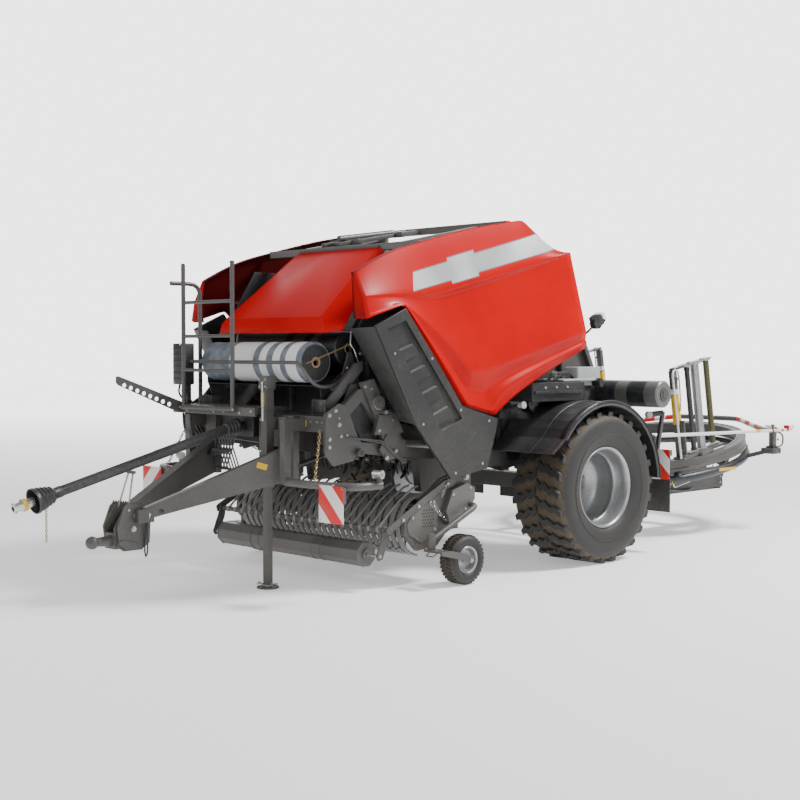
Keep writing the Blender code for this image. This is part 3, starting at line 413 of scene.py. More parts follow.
# Side covers: pressed sheet-steel wings in gloss red, folded over at the roof, with a lip above a
# bulging field and a tucked lower band; they hang on hinges along the roof and lift up sideways.
def net(shape, rows):
    """A grid pulled to rows of points; returns its knots row by row."""
    wide = len(rows[0])
    made = bmesh.ops.create_grid(shape, x_segments=wide - 1, y_segments=len(rows) - 1, size=1)["verts"]
    made.sort(key=lambda knot: (round(knot.co.y, 3), round(knot.co.x, 3)))
    for knot, spot in zip(made, [spot for row in rows for spot in row]):
        knot.co = spot
    return [made[i * wide:(i + 1) * wide] for i in range(len(rows))]


def band(paint, value, low, high, soft=0.002):
    """1 between two limits, with a soft edge."""
    return paint.ramp(value, low - soft, low + soft) * paint.ramp(value, high + soft, high - soft)


def gloss_red(name, decal_and_inner_shade=False):
    paint = Paint(name)
    patches = paint.noise(1.7, 4)
    specks = paint.noise(70, 8)
    low = paint.ramp(paint.part("Z"), 2.9, 1.3)
    dirt = paint.ramp(patches * 0.5 + specks * 0.5 + low * 0.12, 0.56, 0.86) * 0.08
    red = paint.mix(paint.ramp(patches, 0.3, 0.7), (0.43, 0.0001, 0.0010), (0.50, 0.0003, 0.0015))
    colour = paint.mix(dirt, red, (0.26, 0.06, 0.04))
    rough = 0.30 + dirt * 0.7 + specks * 0.05
    if decal_and_inner_shade:
        facing = paint.node("SeparateXYZ", {0: paint.node("TexCoord", output="Normal")}, output="X")
        outside = paint.ramp(facing * paint.part("X"), -0.04, 0.04)
        y = paint.part("Y") - axle_y
        z = paint.part("Z")
        tab = band(paint, y, -1.655, -1.335) * 0.030
        over = z - y * 0.2384 - 2.8415 + tab
        under = y * 0.2543 + 3.0335 - z + tab
        ends = paint.ramp(y - z * 0.28 + 2.751, -0.002, 0.002) * paint.ramp(2.728 - z - y * 0.332, -0.002,
                0.002)
        inside = paint.ramp(over, 0.008, 0.011) * paint.ramp(under, 0.008, 0.011) * ends * outside
        around = paint.ramp(over, 0.0, 0.003) * paint.ramp(under, 0.0, 0.003) * ends * outside
        sheen = paint.ramp(paint.noise(1.3, 1), 0.42, 0.60)
        foil = paint.mix(sheen, (0.36, 0.37, 0.37), (0.66, 0.67, 0.67))
        # The face turned towards the machine is painted a dark red: painted shade on the inside of the
        # cover.
        colour = paint.mix(outside, (0.060, 0.0015, 0.0020), colour)
        colour = paint.mix(around, colour, (0.16, 0.16, 0.16))
        colour = paint.mix(inside, colour, foil)
        rough = rough + inside * 0.12 - outside * 0.25 + 0.25
    peel = paint.noise(95, 2)
    return paint.wear(Base_Color=colour, Roughness=rough, Specular_IOR_Level=0.10, Coat_Weight=0.03,
                      Coat_Roughness=0.10, Normal=paint.bump(peel, 0.0006, 0.5))


panel_red = gloss_red("panel_red_with_band_and_inner_shade", decal_and_inner_shade=True)
plain_red = gloss_red("hood_red")
cover_rows = (
    ((0.957,) * 8, ((-2.60, 2.487), (-2.25, 2.663), (-1.95, 2.742), (-1.60, 2.829), (-1.35, 2.889),
                    (-1.10, 2.938),
                    (-0.65, 3.010), (-0.236, 2.763)), 0.0),
    ((1.008,) * 8, ((-2.60, 2.490), (-2.25, 2.666), (-1.95, 2.745), (-1.60, 2.832), (-1.35, 2.892),
                    (-1.10, 2.941),
                    (-0.65, 3.013), (-0.236, 2.766)), 0.55),
    ((1.130, 1.136, 1.142, 1.145, 1.145, 1.145, 1.145, 1.145),
     ((-2.605, 2.30), (-2.25, 2.335), (-1.95, 2.315), (-1.60, 2.400), (-1.35, 2.457), (-1.10, 2.520),
      (-0.65, 2.630), (-0.165, 2.745)), 0.75),
    ((1.133, 1.138, 1.118, 1.106, 1.106, 1.110, 1.122, 1.138),
     ((-2.605, 2.28), (-2.25, 2.315), (-1.93, 2.270), (-1.58, 2.352), (-1.33, 2.410), (-1.08, 2.475),
      (-0.63, 2.592), (-0.155, 2.722)), 0.60),
    ((1.165, 1.172, 1.188, 1.203, 1.204, 1.203, 1.200, 1.198),
     ((-2.603, 2.165), (-2.237, 2.262), (-1.80, 1.985), (-1.505, 1.705), (-1.30, 1.738), (-1.08, 1.780),
      (-0.60, 1.900), (-0.006, 2.052)), 0.65),
    ((1.172, 1.178, 1.168, 1.152, 1.150, 1.150, 1.154, 1.162),
     ((-2.602, 2.152), (-2.235, 2.253), (-1.79, 1.865), (-1.487, 1.555), (-1.30, 1.535), (-1.12, 1.625),
      (-0.60, 1.795), (0.030, 1.975)), 0.45),
    ((1.176, 1.182, 1.184, 1.186, 1.186, 1.186, 1.182, 1.178),
     ((-2.600, 2.140), (-2.232, 2.246), (-1.80, 1.775), (-1.53, 1.446), (-1.225, 1.378), (-1.10, 1.585),
      (-0.57, 1.745), (0.030, 1.950)), 0.70),
    ((1.150,) * 8, ((-2.595, 2.127), (-2.228, 2.238), (-1.80, 1.744), (-1.54, 1.428), (-1.16, 1.337),
                    (-1.00, 1.455),
                    (-0.55, 1.672), (0.030, 1.895)), 0.9))
for side, name in ((1, "left"), (-1, "right")):
    shape = bmesh.new()
    knots = net(shape, [[at(side * x, y, z) for x, (y, z) in zip(xs, spots)] for xs, spots,
                        hard in cover_rows])
    crease = shape.edges.layers.float.new("crease_edge")
    for row, (xs, spots, hard) in zip(knots, cover_rows):
        for a, b in zip(row, row[1:]):
            shape.edges.get((a, b))[crease] = hard
    for upper, lower in zip(knots[:3], knots[1:4]):
        shape.edges.get((upper[6], lower[6]))[crease] = 0.75
    for upper, lower in zip(knots[4:], knots[5:]):
        shape.edges.get((upper[4], lower[4]))[crease] = 0.5
    for corner, hard in ((1, 0.7), (3, 0.55)):
        for upper, lower in zip(knots[4:], knots[5:]):
            shape.edges.get((upper[corner], lower[corner]))[crease] = hard
    front = [knots[i][0] for i in range(8)]
    turned_in = [at(side * x, y + 0.004, z) for x, y, z in
                 ((0.955, -2.60, 2.480), (0.965, -2.606, 2.480), (0.985, -2.612, 2.30),
                  (0.985, -2.612, 2.28),
                  (0.985, -2.606, 2.165), (0.985, -2.604, 2.152), (0.985, -2.602, 2.140),
                  (0.985, -2.597, 2.127))]
    fold = [shape.verts.new(spot) for spot in turned_in]
    for (a, b), (c, d) in zip(zip(front, front[1:]), zip(fold, fold[1:])):
        shape.faces.new((a, b, d, c))
    for a, b in zip(front, front[1:]):
        shape.edges.get((a, b))[crease] = 0.85
    made = piece(shape, "side_cover_" + name, "side_panel_" + name, panel_red,
                 ("side_panel_" + name,), angle=60)
    smooth = made.modifiers.new("pressed", "SUBSURF")
    smooth.levels = smooth.render_levels = 3
    smooth.boundary_smooth = "PRESERVE_CORNERS"
    wall = made.modifiers.new("sheet", "SOLIDIFY")
    wall.thickness = 0.005
    wall.offset = -1

# Front hood: one folded sheet in the same red, with chamfered flanks and a lip that folds down over
# the net roll; a round hinge bar carries it across the roof.
shape = bmesh.new()
hood_hinge = Vector((0, -1.2773, 2.745)) - Vector((0, axle_y, 0))
rows = [[(-0.60, hood_hinge.y - 0.01, 2.700), (-0.50, hood_hinge.y, 2.742), (0.0, hood_hinge.y, 2.743),
         (0.50, hood_hinge.y, 2.742), (0.60, hood_hinge.y - 0.01, 2.700)],
        [(-0.80, -2.50, 2.110), (-0.62, -2.625, 2.147), (0.0, -2.628, 2.150), (0.62, -2.625, 2.147),
         (0.80, -2.50, 2.110)],
        [(-0.79, -2.515, 2.075), (-0.665, -2.636, 2.10), (0.0, -2.638, 2.10), (0.665, -2.636, 2.10),
         (0.79, -2.515, 2.075)],
        [(-0.77, -2.52, 2.040), (-0.70, -2.634, 2.024), (0.0, -2.636, 2.024), (0.70, -2.634, 2.024),
         (0.77, -2.52, 2.040)]]
net(shape, [[at(*spot) for spot in row] for row in rows])
piece(shape, "hood_sheet", "front_hood", plain_red, ("front_hood",), edge=0.008, angle=25,
      shell=0.005)
frame_grey = dusty("frame_grey", (0.078, 0.076, 0.073), 0.36, 0.26, scale=330)
machine_black = dusty("machine_black", (0.020, 0.022, 0.025), 0.38, 0.32, scale=300)
shape = bmesh.new()
pin(shape, (-0.51, 0.51), (hood_hinge.y, 2.745), 0.011, 24)
for x in (-0.42, 0.0, 0.42):
    pin(shape, (x - 0.035, x + 0.035), (hood_hinge.y, 2.745), 0.0118, 24)
for x in (-0.50, 0.50):
    shaft(shape, at(x, hood_hinge.y - 0.03, 2.70), at(x * 1.26, -2.50, 2.14), 0.011, 12)
pin(shape, (-0.69, 0.69), (-2.60, 2.05), 0.010, 12)
piece(shape, "hood_frame", "front_hood", frame_grey)

# Lower shields: moulded grey plastic in front of each wing, with a long pocket stepped by four ribs,
# a front flange turned in towards the frame, and screws along the edge.
side_on = Matrix(((0, 0, 1, 0), (1, 0, 0, axle_y), (0, 1, 0, 0), (0, 0, 0, 1)))


def pane(shape, outline, inner, outer, pocket=None, depth=0.012, holes=()):
    """A flat outline from height inner to outer above its plane, with holes and an optional sunk pocket."""
    rings = []
    for points in [outline, *holes] + ([pocket] if pocket else []):
        knots = [shape.verts.new(side_on @ Vector((*p, outer))) for p in points]
        rings.append([shape.edges.new(pair) for pair in zip(knots, knots[1:] + knots[:1])])
    bmesh.ops.triangle_fill(shape, use_beauty=True, use_dissolve=False, edges=sum(rings, []))
    drop = side_on.to_3x3() @ Vector((0, 0, 1))
    falls = [inner - outer] * (1 + len(holes)) + [-math.copysign(depth, outer - inner)]
    rims = []
    for edges, fall in zip(rings, falls):
        made = bmesh.ops.extrude_edge_only(shape, edges=edges)["geom"]
        far = [g for g in made if isinstance(g, bmesh.types.BMVert)]
        rims.append([g for g in made if isinstance(g,
                                                   bmesh.types.BMEdge) and all(v in far for v in g.verts)])
        bmesh.ops.translate(shape, verts=far, vec=drop * fall)
    bmesh.ops.triangle_fill(shape, use_beauty=True, use_dissolve=False, edges=sum(rims[:1 + len(holes)],
            []))
    if pocket:
        bmesh.ops.triangle_fill(shape, use_beauty=True, use_dissolve=False, edges=rims[-1])


shield_grey = dusty("shield_grey", (0.021, 0.022, 0.021), 0.42, 0.20, scale=700, grain=0.0006)
shield_edge = [(-2.56, 2.072), (-2.237, 2.212), (-1.822, 1.716), (-1.60, 1.432), (-1.17, 1.315),
               (-1.194, 1.202),
               (-1.30, 0.904), (-1.726, 0.842), (-2.13, 1.30)]
shield_pocket = [(-2.43, 2.052), (-2.238, 2.120), (-1.60, 1.330), (-1.835, 1.235)]
for side, name in ((1, "left"), (-1, "right")):
    shape = bmesh.new()
    pane(shape, shield_edge, side * 1.168, side * 1.1965, shield_pocket, 0.026)
    front_top, rear_top, rear_low, front_low = (Vector(p) for p in shield_pocket)
    for i in range(4):
        top, foot = 0.20 + 0.21 * i, 0.31 + 0.21 * i
        rib = []
        for t, x in ((top, 1.171), (foot, 1.171), (top + 0.015, 1.190), (foot - 0.004, 1.1955)):
            start, end = front_top.lerp(front_low, t), rear_top.lerp(rear_low, t)
            rib += [at(side * x, *start.lerp(end, reach)) for reach in (-0.02, 0.74 if x > 1.18 else 0.78)]
        bmesh.ops.convex_hull(shape, input=[shape.verts.new(p) for p in rib])
    pane(shape, [(-1.62, 1.02), (-1.36, 1.075), (-1.45, 1.215)], side * 1.19, side * 1.1982)
    piece(shape, "shield_face_" + name, "chassis", shield_grey, ("shield_" + name,),
          edge=0.005)
    shape = bmesh.new()
    rows = [[at(side * 0.935, -2.59, 2.055), at(side * 1.06, -2.585, 2.060),
             at(side * 1.18, -2.556, 2.066)],
            [at(side * 0.975, -2.36, 1.690), at(side * 1.08, -2.36, 1.688), at(side * 1.18, -2.345, 1.680)],
            [at(side * 1.02, -2.135, 1.325), at(side * 1.10, -2.135, 1.312),
             at(side * 1.18, -2.128, 1.300)]]
    net(shape, rows)
    piece(shape, "shield_flange_" + name, "chassis", shield_grey, edge=0.004, shell=0.008)
    shape = bmesh.new()
    for y, z in ((-2.36, 1.86), (-1.95, 1.82), (-1.62, 1.40), (-1.28, 1.30), (-1.36, 0.95), (-1.68, 0.89),
                 (-2.05, 1.30)):
        pin(shape, (side * 1.196, side * 1.1995), (y, z), 0.011, 16)
    for y, z in ((-1.94, 1.115), (-1.50, 1.20)):
        pin(shape, (side * 0.905, side * 1.172), (y, z), 0.014, 16)
    piece(shape, "shield_screws_" + name, "chassis", bolt_zinc)


# Pickup: spring tines on four bars turn inside pressed steel bands; side plates of grey plate
# carry a lift pivot, a cover box on the drive side and a tube leg out to each castor wheel.
def pipe(shape, points, radius, bend=0.05, sides=10, closed=False):
    """Adds a round tube along points, its corners turned on a bend."""
    points = [Vector(p) for p in points]
    route = points[:]
    if not closed:
        route = [points[0]]
        for before, corner, after in zip(points, points[1:], points[2:]):
            reach = min(bend, (corner - before).length * 0.45, (after - corner).length * 0.45)
            start = corner + (before - corner).normalized() * reach
            end = corner + (after - corner).normalized() * reach
            for i in range(5):
                t = i / 4
                route.append((1 - t) ** 2 * start + 2 * t * (1 - t) * corner + t ** 2 * end)
        route.append(points[-1])
    curve = bpy.data.curves.new("route", "CURVE")
    curve.dimensions = "3D"
    curve.bevel_depth = radius
    curve.bevel_resolution = max(0, sides // 2 - 2)
    curve.use_fill_caps = not closed
    spline = curve.splines.new("POLY")
    spline.points.add(len(route) - 1)
    for knot, spot in zip(spline.points, route):
        knot.co = (*spot, 1)
    spline.use_cyclic_u = closed
    holder = bpy.data.objects.new("route", curve)
    mesh = bpy.data.meshes.new_from_object(holder)
    shape.from_mesh(mesh)
    bpy.data.objects.remove(holder)
    bpy.data.curves.remove(curve)
    bpy.data.meshes.remove(mesh)


def on_side(side, *spots):
    """Points of one side, given for the left."""
    return [at(side * x, y, z) for x, y, z in spots]


def slab(shape, x, y, z, edge=0.003):
    """Adds a block from its ranges, y counted from the axle, with broken edges."""
    sizes = [abs(b - a) for a, b in (x, y, z)]
    centre = at((x[0] + x[1]) / 2, (y[0] + y[1]) / 2, (z[0] + z[1]) / 2)
    made = bmesh.ops.create_cube(shape, size=1, matrix=Matrix.Translation(centre) @ Matrix.Diagonal((*sizes,
            1)))
    edges = list({e for v in made["verts"] for e in v.link_edges})
    bmesh.ops.bevel(shape, geom=edges, offset=edge, affect="EDGES", segments=2, profile=0.5, material=-1)


def girder(shape, start, end, width, height, edge=0.003):
    """Adds a square bar between two points, width level and height across."""
    start, end = Vector(start), Vector(end)
    forward = (end - start).normalized()
    level = forward.cross(Vector((0, 0, 1)))
    level = level.normalized() if level.length > 0.1 else Vector((1, 0, 0))
    turn = Matrix((level, forward, level.cross(forward))).transposed().to_4x4()
    place = Matrix.Translation((start + end) / 2) @ turn @ Matrix.Diagonal((width, (end - start).length,
            height, 1))
    made = bmesh.ops.create_cube(shape, size=1, matrix=place)
    edges = list({e for v in made["verts"] for e in v.link_edges})
    bmesh.ops.bevel(shape, geom=edges, offset=edge, affect="EDGES", segments=2, profile=0.5, material=-1)


def chain(shape, start, end, link=0.026, wire=0.0030):
    """Adds a hanging chain of oval links between two points."""
    start, end = Vector(start), Vector(end)
    count = max(3, round((end - start).length / (link * 0.76)))
    along_it = (end - start).normalized()
    across = along_it.cross(Vector((0.3, 0.9, 0.1))).normalized()
    for i in range(count):
        middle = start.lerp(end, (i + 0.5) / count)
        wide = across if i % 2 else along_it.cross(across)
        oval = [middle + along_it * math.cos(a) * link * 0.5 + wide * math.sin(a) * link * 0.30
                for a in (2 * math.pi * k / 10 for k in range(10))]
        pipe(shape, oval, wire, sides=6, closed=True)


def side_bolt(shape, side, spot, size):
    """Adds a bolt whose head faces outwards, its place given for the left side."""
    bolt(shape, at(side * spot[0], *spot[1:]), (side, 0, 0), size)


def dress(paint, *nodes, edge=0.003):
    """Keeps CAD nodes, with broken edges and a finished paint."""
    for node in nodes:
        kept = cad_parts[node]
        for slot in kept.material_slots:
            slot.material = paint
        weld = kept.modifiers.new("weld", "WELD")
        weld.merge_threshold = 0.00005
        soft = kept.modifiers.new("edge", "BEVEL")
        soft.width = edge
        soft.segments = 2
        soft.limit_method = "ANGLE"
        soft.angle_limit = math.radians(40)


reel_y, reel_z, band_radius = -1.90, 0.47, 0.249
band_grey = dusty("band_steel", (0.24, 0.236, 0.230), 0.34, 0.30, metal=0.2, scale=260)
tine_steel = dusty("tine_steel", (0.055, 0.05, 0.045), 0.32, 0.30, metal=0.7, scale=300)
dress(frame_grey, "pickup_frame", edge=0.004)
shape = bmesh.new()
strips = 27
pitch = 2.09 / strips
for i in range(strips):
    middle = -1.045 + pitch * (i + 0.5)
    rows = []
    for j in range(20):
        a = math.radians(258 - 203 * j / 19)
        row = []
        for lift, x in ((-0.010, -0.0285), (0.0, -0.024), (0.003, 0.0), (0.0, 0.024), (-0.010, 0.0285)):
            r = band_radius + lift
            row.append(at(middle + x, reel_y + r * math.cos(a), reel_z + r * math.sin(a)))
        rows.append(row)
    rows.append([at(p.x, -1.64, 0.634 + (p - at(p.x, reel_y,
                                                reel_z)).length - band_radius) for p in rows[-1]])
    net(shape, rows)
    shaft(shape, at(middle, -1.645, 0.625), at(middle, -1.637, 0.639), 0.008, 6)
piece(shape, "pickup_strips", "pickup", band_grey, ("pickup_bands",), shell=0.003, angle=50)
shape = bmesh.new()
pin(shape, (-1.04, 1.04), (-1.66, 0.60), 0.022, 16)
slab(shape, (-1.05, 1.05), (-1.66, -1.63), (0.56, 0.63), 0.004)
piece(shape, "pickup_strip_rail", "pickup", frame_grey)
shape = bmesh.new()
pin(shape, (-1.05, 1.05), (reel_y, reel_z), 0.03, 24)
for x in (-0.98, -0.33, 0.33, 0.98):
    pin(shape, (x - 0.004, x + 0.004), (reel_y, reel_z), 0.158, 32)
for i in range(4):
    a = math.radians(45 + 90 * i)
    y, z = reel_y + 0.13 * math.cos(a), reel_z + 0.13 * math.sin(a)
    pin(shape, (-1.0, 1.0), (y, z), 0.012, 12)
    for k in range(1, strips):
        x = -1.045 + pitch * k
        for shift in (-0.004, 0.004):
            knee = at(x + shift, reel_y + 0.215 * math.cos(a + 0.05), reel_z + 0.215 * math.sin(a + 0.05))
            tip = at(x + shift, reel_y + 0.295 * math.cos(a - 0.14), reel_z + 0.295 * math.sin(a - 0.14))
            shaft(shape, at(x + shift, y, z), knee, 0.0028, 6)
            shaft(shape, knee, tip, 0.0028, 6)
        pin(shape, (x - 0.012, x + 0.012), (y, z), 0.018, 10)
piece(shape, "tine_reel", "pickup_reel", tine_steel, ("pickup_reel",))
cast_grey = dusty("cover_grey", (0.115, 0.112, 0.106), 0.42, 0.28, scale=500)
for side, name in ((1, "left"), (-1, "right")):
    shape = bmesh.new()
    cover = [(-1.74, 0.585), (-1.665, 0.745), (-1.50, 0.795), (-1.405, 0.755), (-1.40, 0.66),
             (-1.50, 0.545), (-1.70, 0.46)]
    pane(shape, cover, side * 1.101, side * 1.152)
    pane(shape, [(-2.14, 0.50), (-2.05, 0.62), (-1.86, 0.70), (-1.78, 0.62), (-1.80, 0.42), (-1.98, 0.34),
                 (-2.12, 0.42)],
         side * 1.1005, side * 1.106)
    piece(shape, "pickup_cover_" + name, "pickup", cast_grey, edge=0.006)
    # Black discs on the guard plate stand in for its holes: painted shade where the open holes would be.
    shape = bmesh.new()
    for row in range(6):
        for col in range(4 + row % 2):
            y, z = -1.95 + col * 0.030 - (row % 2) * 0.015, 0.60 - row * 0.026
            pin(shape, (side * 1.1055, side * 1.1075), (y, z), 0.0085, 12)
    piece(shape, "pickup_guard_hole_shade_" + name, "pickup", machine_black)
    shape = bmesh.new()
    for y, z in ((-2.08, 0.55), (-1.84, 0.66), (-1.83, 0.44), (-2.02, 0.38), (-1.60, 0.87), (-1.70, 0.52)):
        side_bolt(shape, side, (1.106, y, z), 0.010)
    for y, z in ((-1.66, 0.71), (-1.46, 0.755), (-1.52, 0.585)):
        side_bolt(shape, side, (1.152, y, z), 0.009)
    side_bolt(shape, side, (1.10, -1.46, 0.84), 0.022)
    piece(shape, "pickup_bolts_" + name, "pickup", bolt_zinc)
    shape = bmesh.new()
    pipe(shape, on_side(side, (1.095, -1.47, 0.62), (1.22, -1.452, 0.612), (1.22, -1.98, 0.372)),
         0.0232, 0.07, 16)
    shaft(shape, at(side * 1.22, -1.98, 0.3015), at(side * 1.22, -1.98, 0.424), 0.0335, 24)
    piece(shape, "castor_leg_" + name, "pickup", frame_grey)
    shape = bmesh.new()
    coil = [at(side * (1.128 + 0.013 * math.cos(t * 0.9)), -1.90 + 0.0026 * t,
               0.66 - 0.0023 * t + 0.013 * math.sin(t * 0.9))
            for t in range(64)]
    pipe(shape, coil, 0.0028, 0.0, 6)
    pin(shape, (side * 1.11, side * 1.135), (-1.905, 0.665), 0.008, 12)
    pin(shape, (side * 1.11, side * 1.14), (-1.73, 0.512), 0.008, 12)
    chain(shape, at(side * 1.09, -1.60, 0.94), at(side * 1.135, -1.78, 0.70), 0.034, 0.0035)
    piece(shape, "pickup_spring_" + name, "pickup", bolt_zinc)

# Windguard: two flat bar arms carry a cross tube with round steel prongs over the bands, and an
# eight-sided crop roller with pairs of raised hoops hangs below it on side brackets.
shape = bmesh.new()
pin(shape, (-1.125, 1.125), (-2.33, 0.47), 0.0205, 24)
for side in (1, -1):
    arm = [(-1.635, 0.852), (-1.60, 0.815), (-1.63, 0.775), (-1.74, 0.755), (-2.03, 0.610), (-2.36, 0.435),
           (-2.375, 0.485),
           (-2.35, 0.505), (-2.03, 0.672), (-1.74, 0.825)]
    pane(shape, arm, side * 1.107, side * 1.123)
    hanger = [(-2.36, 0.50), (-2.30, 0.49), (-2.315, 0.40), (-2.375, 0.245), (-2.42, 0.235), (-2.445, 0.27),
              (-2.385, 0.42)]
    pane(shape, hanger, side * 1.065, side * 1.077)
    pin(shape, (side * 1.00, side * 1.13), (-1.70, 0.80), 0.021, 16)
piece(shape, "windguard_frame", "windguard", frame_grey, ("windguard",), edge=0.003)
shape = bmesh.new()
for i in range(20):
    x = -0.98 + 1.96 * i / 19
    pipe(shape, [at(x, -2.328, 0.486), at(x, -2.13, 0.662), at(x, -1.955, 0.772), at(x, -1.90, 0.783)],
         0.0095, 0.06, 10)
    slab(shape, (x - 0.016, x + 0.016), (-2.352, -2.308), (0.448, 0.492), 0.004)
piece(shape, "windguard_prongs", "windguard", band_grey)
shape = bmesh.new()
for side in (1, -1):
    for y, z in ((-1.70, 0.80), (-2.03, 0.64), (-2.20, 0.545)):
        side_bolt(shape, side, (1.123, y, z), 0.012)
    side_bolt(shape, side, (1.077, -2.41, 0.273), 0.012)
piece(shape, "windguard_bolts", "windguard", bolt_zinc)
roller_black = dusty("crop_roller", (0.115, 0.113, 0.110), 0.32, 0.35, metal=0.25, scale=240)
shape = bmesh.new()
flat_up = Matrix.Rotation(math.pi / 8, 4, "Z")
for start, end, radius in ((-0.915, 0.915, 0.0995), (-0.46, -0.452, 0.104), (-0.35, -0.342, 0.104),
                           (0.342, 0.35, 0.104),
                           (0.452, 0.46, 0.104), (-0.922, -0.908, 0.104), (0.908, 0.922, 0.104)):
    bmesh.ops.create_cone(shape, cap_ends=True, segments=8, radius1=radius, radius2=radius,
                          depth=end - start,
                          matrix=Matrix.Translation(at((start + end) / 2, -2.41, 0.273))
                          @ Matrix.Rotation(math.pi / 2, 4, "Y") @ flat_up)
for side in (1, -1):
    pin(shape, (side * 0.92, side * 0.934), (-2.41, 0.273), 0.045, 24)
piece(shape, "crop_roller", "windguard_roller", roller_black, ("windguard_roller",),
      edge=0.003)
shape = bmesh.new()
pin(shape, (-1.066, 1.066), (-2.41, 0.273), 0.0135, 20)
piece(shape, "crop_roller_shaft", "windguard_roller", bolt_zinc)

# Castor wheels: small pneumatic tyres with shallow blocks on pressed silver rims, each held from
# outside by a plate arm under a swivel plate.
dress(frame_grey, "castor_left", "castor_right", edge=0.003)
for side, name in ((1, "left"), (-1, "right")):
    hub = outward(side, -1.70, 0.2025)
    shape = bmesh.new()
    low, high = 1.288 - 0.0825, 1.288 + 0.0825
    base = 0.1965
    flank = [(0.104, high - 0.030), (0.112, high - 0.014), (0.135, high - 0.003), (0.160, high - 0.0005),
             (0.178, high - 0.010),
             (0.190, high - 0.028), (base, high - 0.045)]
    lathe(shape, flank + [(r, low + high - h) for r, h in reversed(flank)], hub, 64)
    tread = shape.verts.layers.float.new("tread")
    for i in range(34):
        turn = 2 * math.pi * i / 34
        for half, shift in ((1, 0.0), (-1, math.pi / 34)):
            spots = [(1.288 + half * 0.008, shift), (1.288 + half * 0.03, shift + 0.03),
                     (1.288 + half * 0.056, shift + 0.075)]
            tread_block(shape, hub, 0.2022, 0.185, turn, 0.021, spots)
    for vert in shape.verts:
        local = hub.inverted() @ vert.co
        radius = math.hypot(local.x, local.y)
        vert[tread] = 0.6 if radius < 0.18 else min(1.0, max(0.0, (radius - base) / 0.004))
    piece(shape, "castor_tyre_" + name, "gauge_wheel_" + name, tyre_rubber,
          ("gauge_wheel_" + name,))
    shape = bmesh.new()
    disc = [(0.0, 1.333), (0.020, 1.333), (0.028, 1.325), (0.031, 1.308), (0.060, 1.300), (0.082, 1.306),
            (0.090, 1.322),
            (0.094, 1.352), (0.108, 1.360), (0.112, 1.356), (0.106, 1.348), (0.1035, 1.33), (0.1035, 1.246),
            (0.112, 1.220),
            (0.108, 1.216), (0.094, 1.224), (0.088, 1.27), (0.030, 1.285), (0.028, 1.245), (0.0, 1.243)]
    lathe(shape, disc, hub, 48)
    piece(shape, "castor_rim_" + name, "gauge_wheel_" + name, rim_silver)
    shape = bmesh.new()
    side_bolt(shape, side, (1.3885, -1.70, 0.2025), 0.014)
    for y in (-2.005, -1.945):
        bolt(shape, at(side * 1.30, y, 0.2995), (0, 0, 1), 0.008)
    shaft(shape, at(side * 1.22, -1.98, 0.27), at(side * 1.22, -1.98, 0.2995), 0.020, 20)
    piece(shape, "castor_bolts_" + name, "castor_" + name, bolt_zinc)
    shape = bmesh.new()
    loop = [at(side * x, y, z) for x, y, z in ((1.245, -2.035, 0.282), (1.245, -2.07, 0.262),
                                               (1.33, -2.07, 0.262),
                                               (1.33, -2.035, 0.282))]
    pipe(shape, loop, 0.006, 0.02, 8)
    piece(shape, "castor_loop_" + name, "castor_" + name, frame_grey)

# Feed rotor: a heavy tube with spirals of curved steel fingers that push the crop back; it turns
# between the chassis rails.
rotor_steel = dusty("rotor_steel", (0.050, 0.050, 0.052), 0.26, 0.25, metal=0.8, scale=200)
shape = bmesh.new()
pin(shape, (-0.655, 0.655), (-1.40, 0.98), 0.085, 32)
for i in range(13):
    x = -0.54 + 0.09 * i
    turn = math.radians(25 * i)
    for k in range(3):
        a = turn + 2 * math.pi * k / 3
        finger = []
        for r, lead in ((0.07, -0.30), (0.13, -0.26), (0.18, -0.16), (0.225, 0.06), (0.228, 0.13),
                        (0.17, 0.06), (0.12, 0.05), (0.07, 0.25)):
            finger.append((-1.40 + r * math.cos(a - lead), 0.98 + r * math.sin(a - lead)))
        pane(shape, finger, x - 0.006, x + 0.006)
piece(shape, "rotor_fingers", "feed_rotor", rotor_steel, ("feed_rotor",), edge=0.002)
shape = bmesh.new()
for i in range(19):
    x = -0.585 + 0.065 * i
    pipe(shape, [at(x, -1.60, 1.16), at(x, -1.66, 1.06), at(x, -1.655, 0.93), at(x, -1.62, 0.83)], 0.007,
         0.05, 8)
pin(shape, (-0.655, 0.655), (-1.60, 1.17), 0.02, 16)
piece(shape, "rotor_combs", "chassis", tine_steel)

# Chassis: welded box rails, crossbeams and pressed side frames in brown-grey paint, with bolted
# links, idlers and guards inside each side frame, blank yellow stickers and hanging chains.
dress(frame_grey, "chassis_frame", "axle_beam", edge=0.004)
tape_yellow = (0.80, 0.46, 0.005)
sticker_yellow = dusty("sticker_yellow", tape_yellow, 0.35, 0.15)
sticker_white = dusty("sticker_white", (0.74, 0.74, 0.73), 0.35, 0.12)
chain_gold = dusty("chain_gold", (0.42, 0.33, 0.17), 0.28, 0.25, metal=0.9, scale=300)
bright_steel = dusty("bright_steel", (0.70, 0.70, 0.69), 0.2, 0.12, metal=0.9, scale=300)


sticker_thick = 0.0014


def plaque(shape, spot, face, up, width, height):
    """Adds a thin plate lying on a face."""
    face, up = Vector(face).normalized(), Vector(up)
    level = up.cross(face).normalized()
    turn = Matrix((level, face.cross(level), face)).transposed().to_4x4()
    bmesh.ops.create_cube(shape, size=1, matrix=Matrix.Translation(Vector(spot)) @ turn
                          @ Matrix.Diagonal((width, height, sticker_thick, 1)))


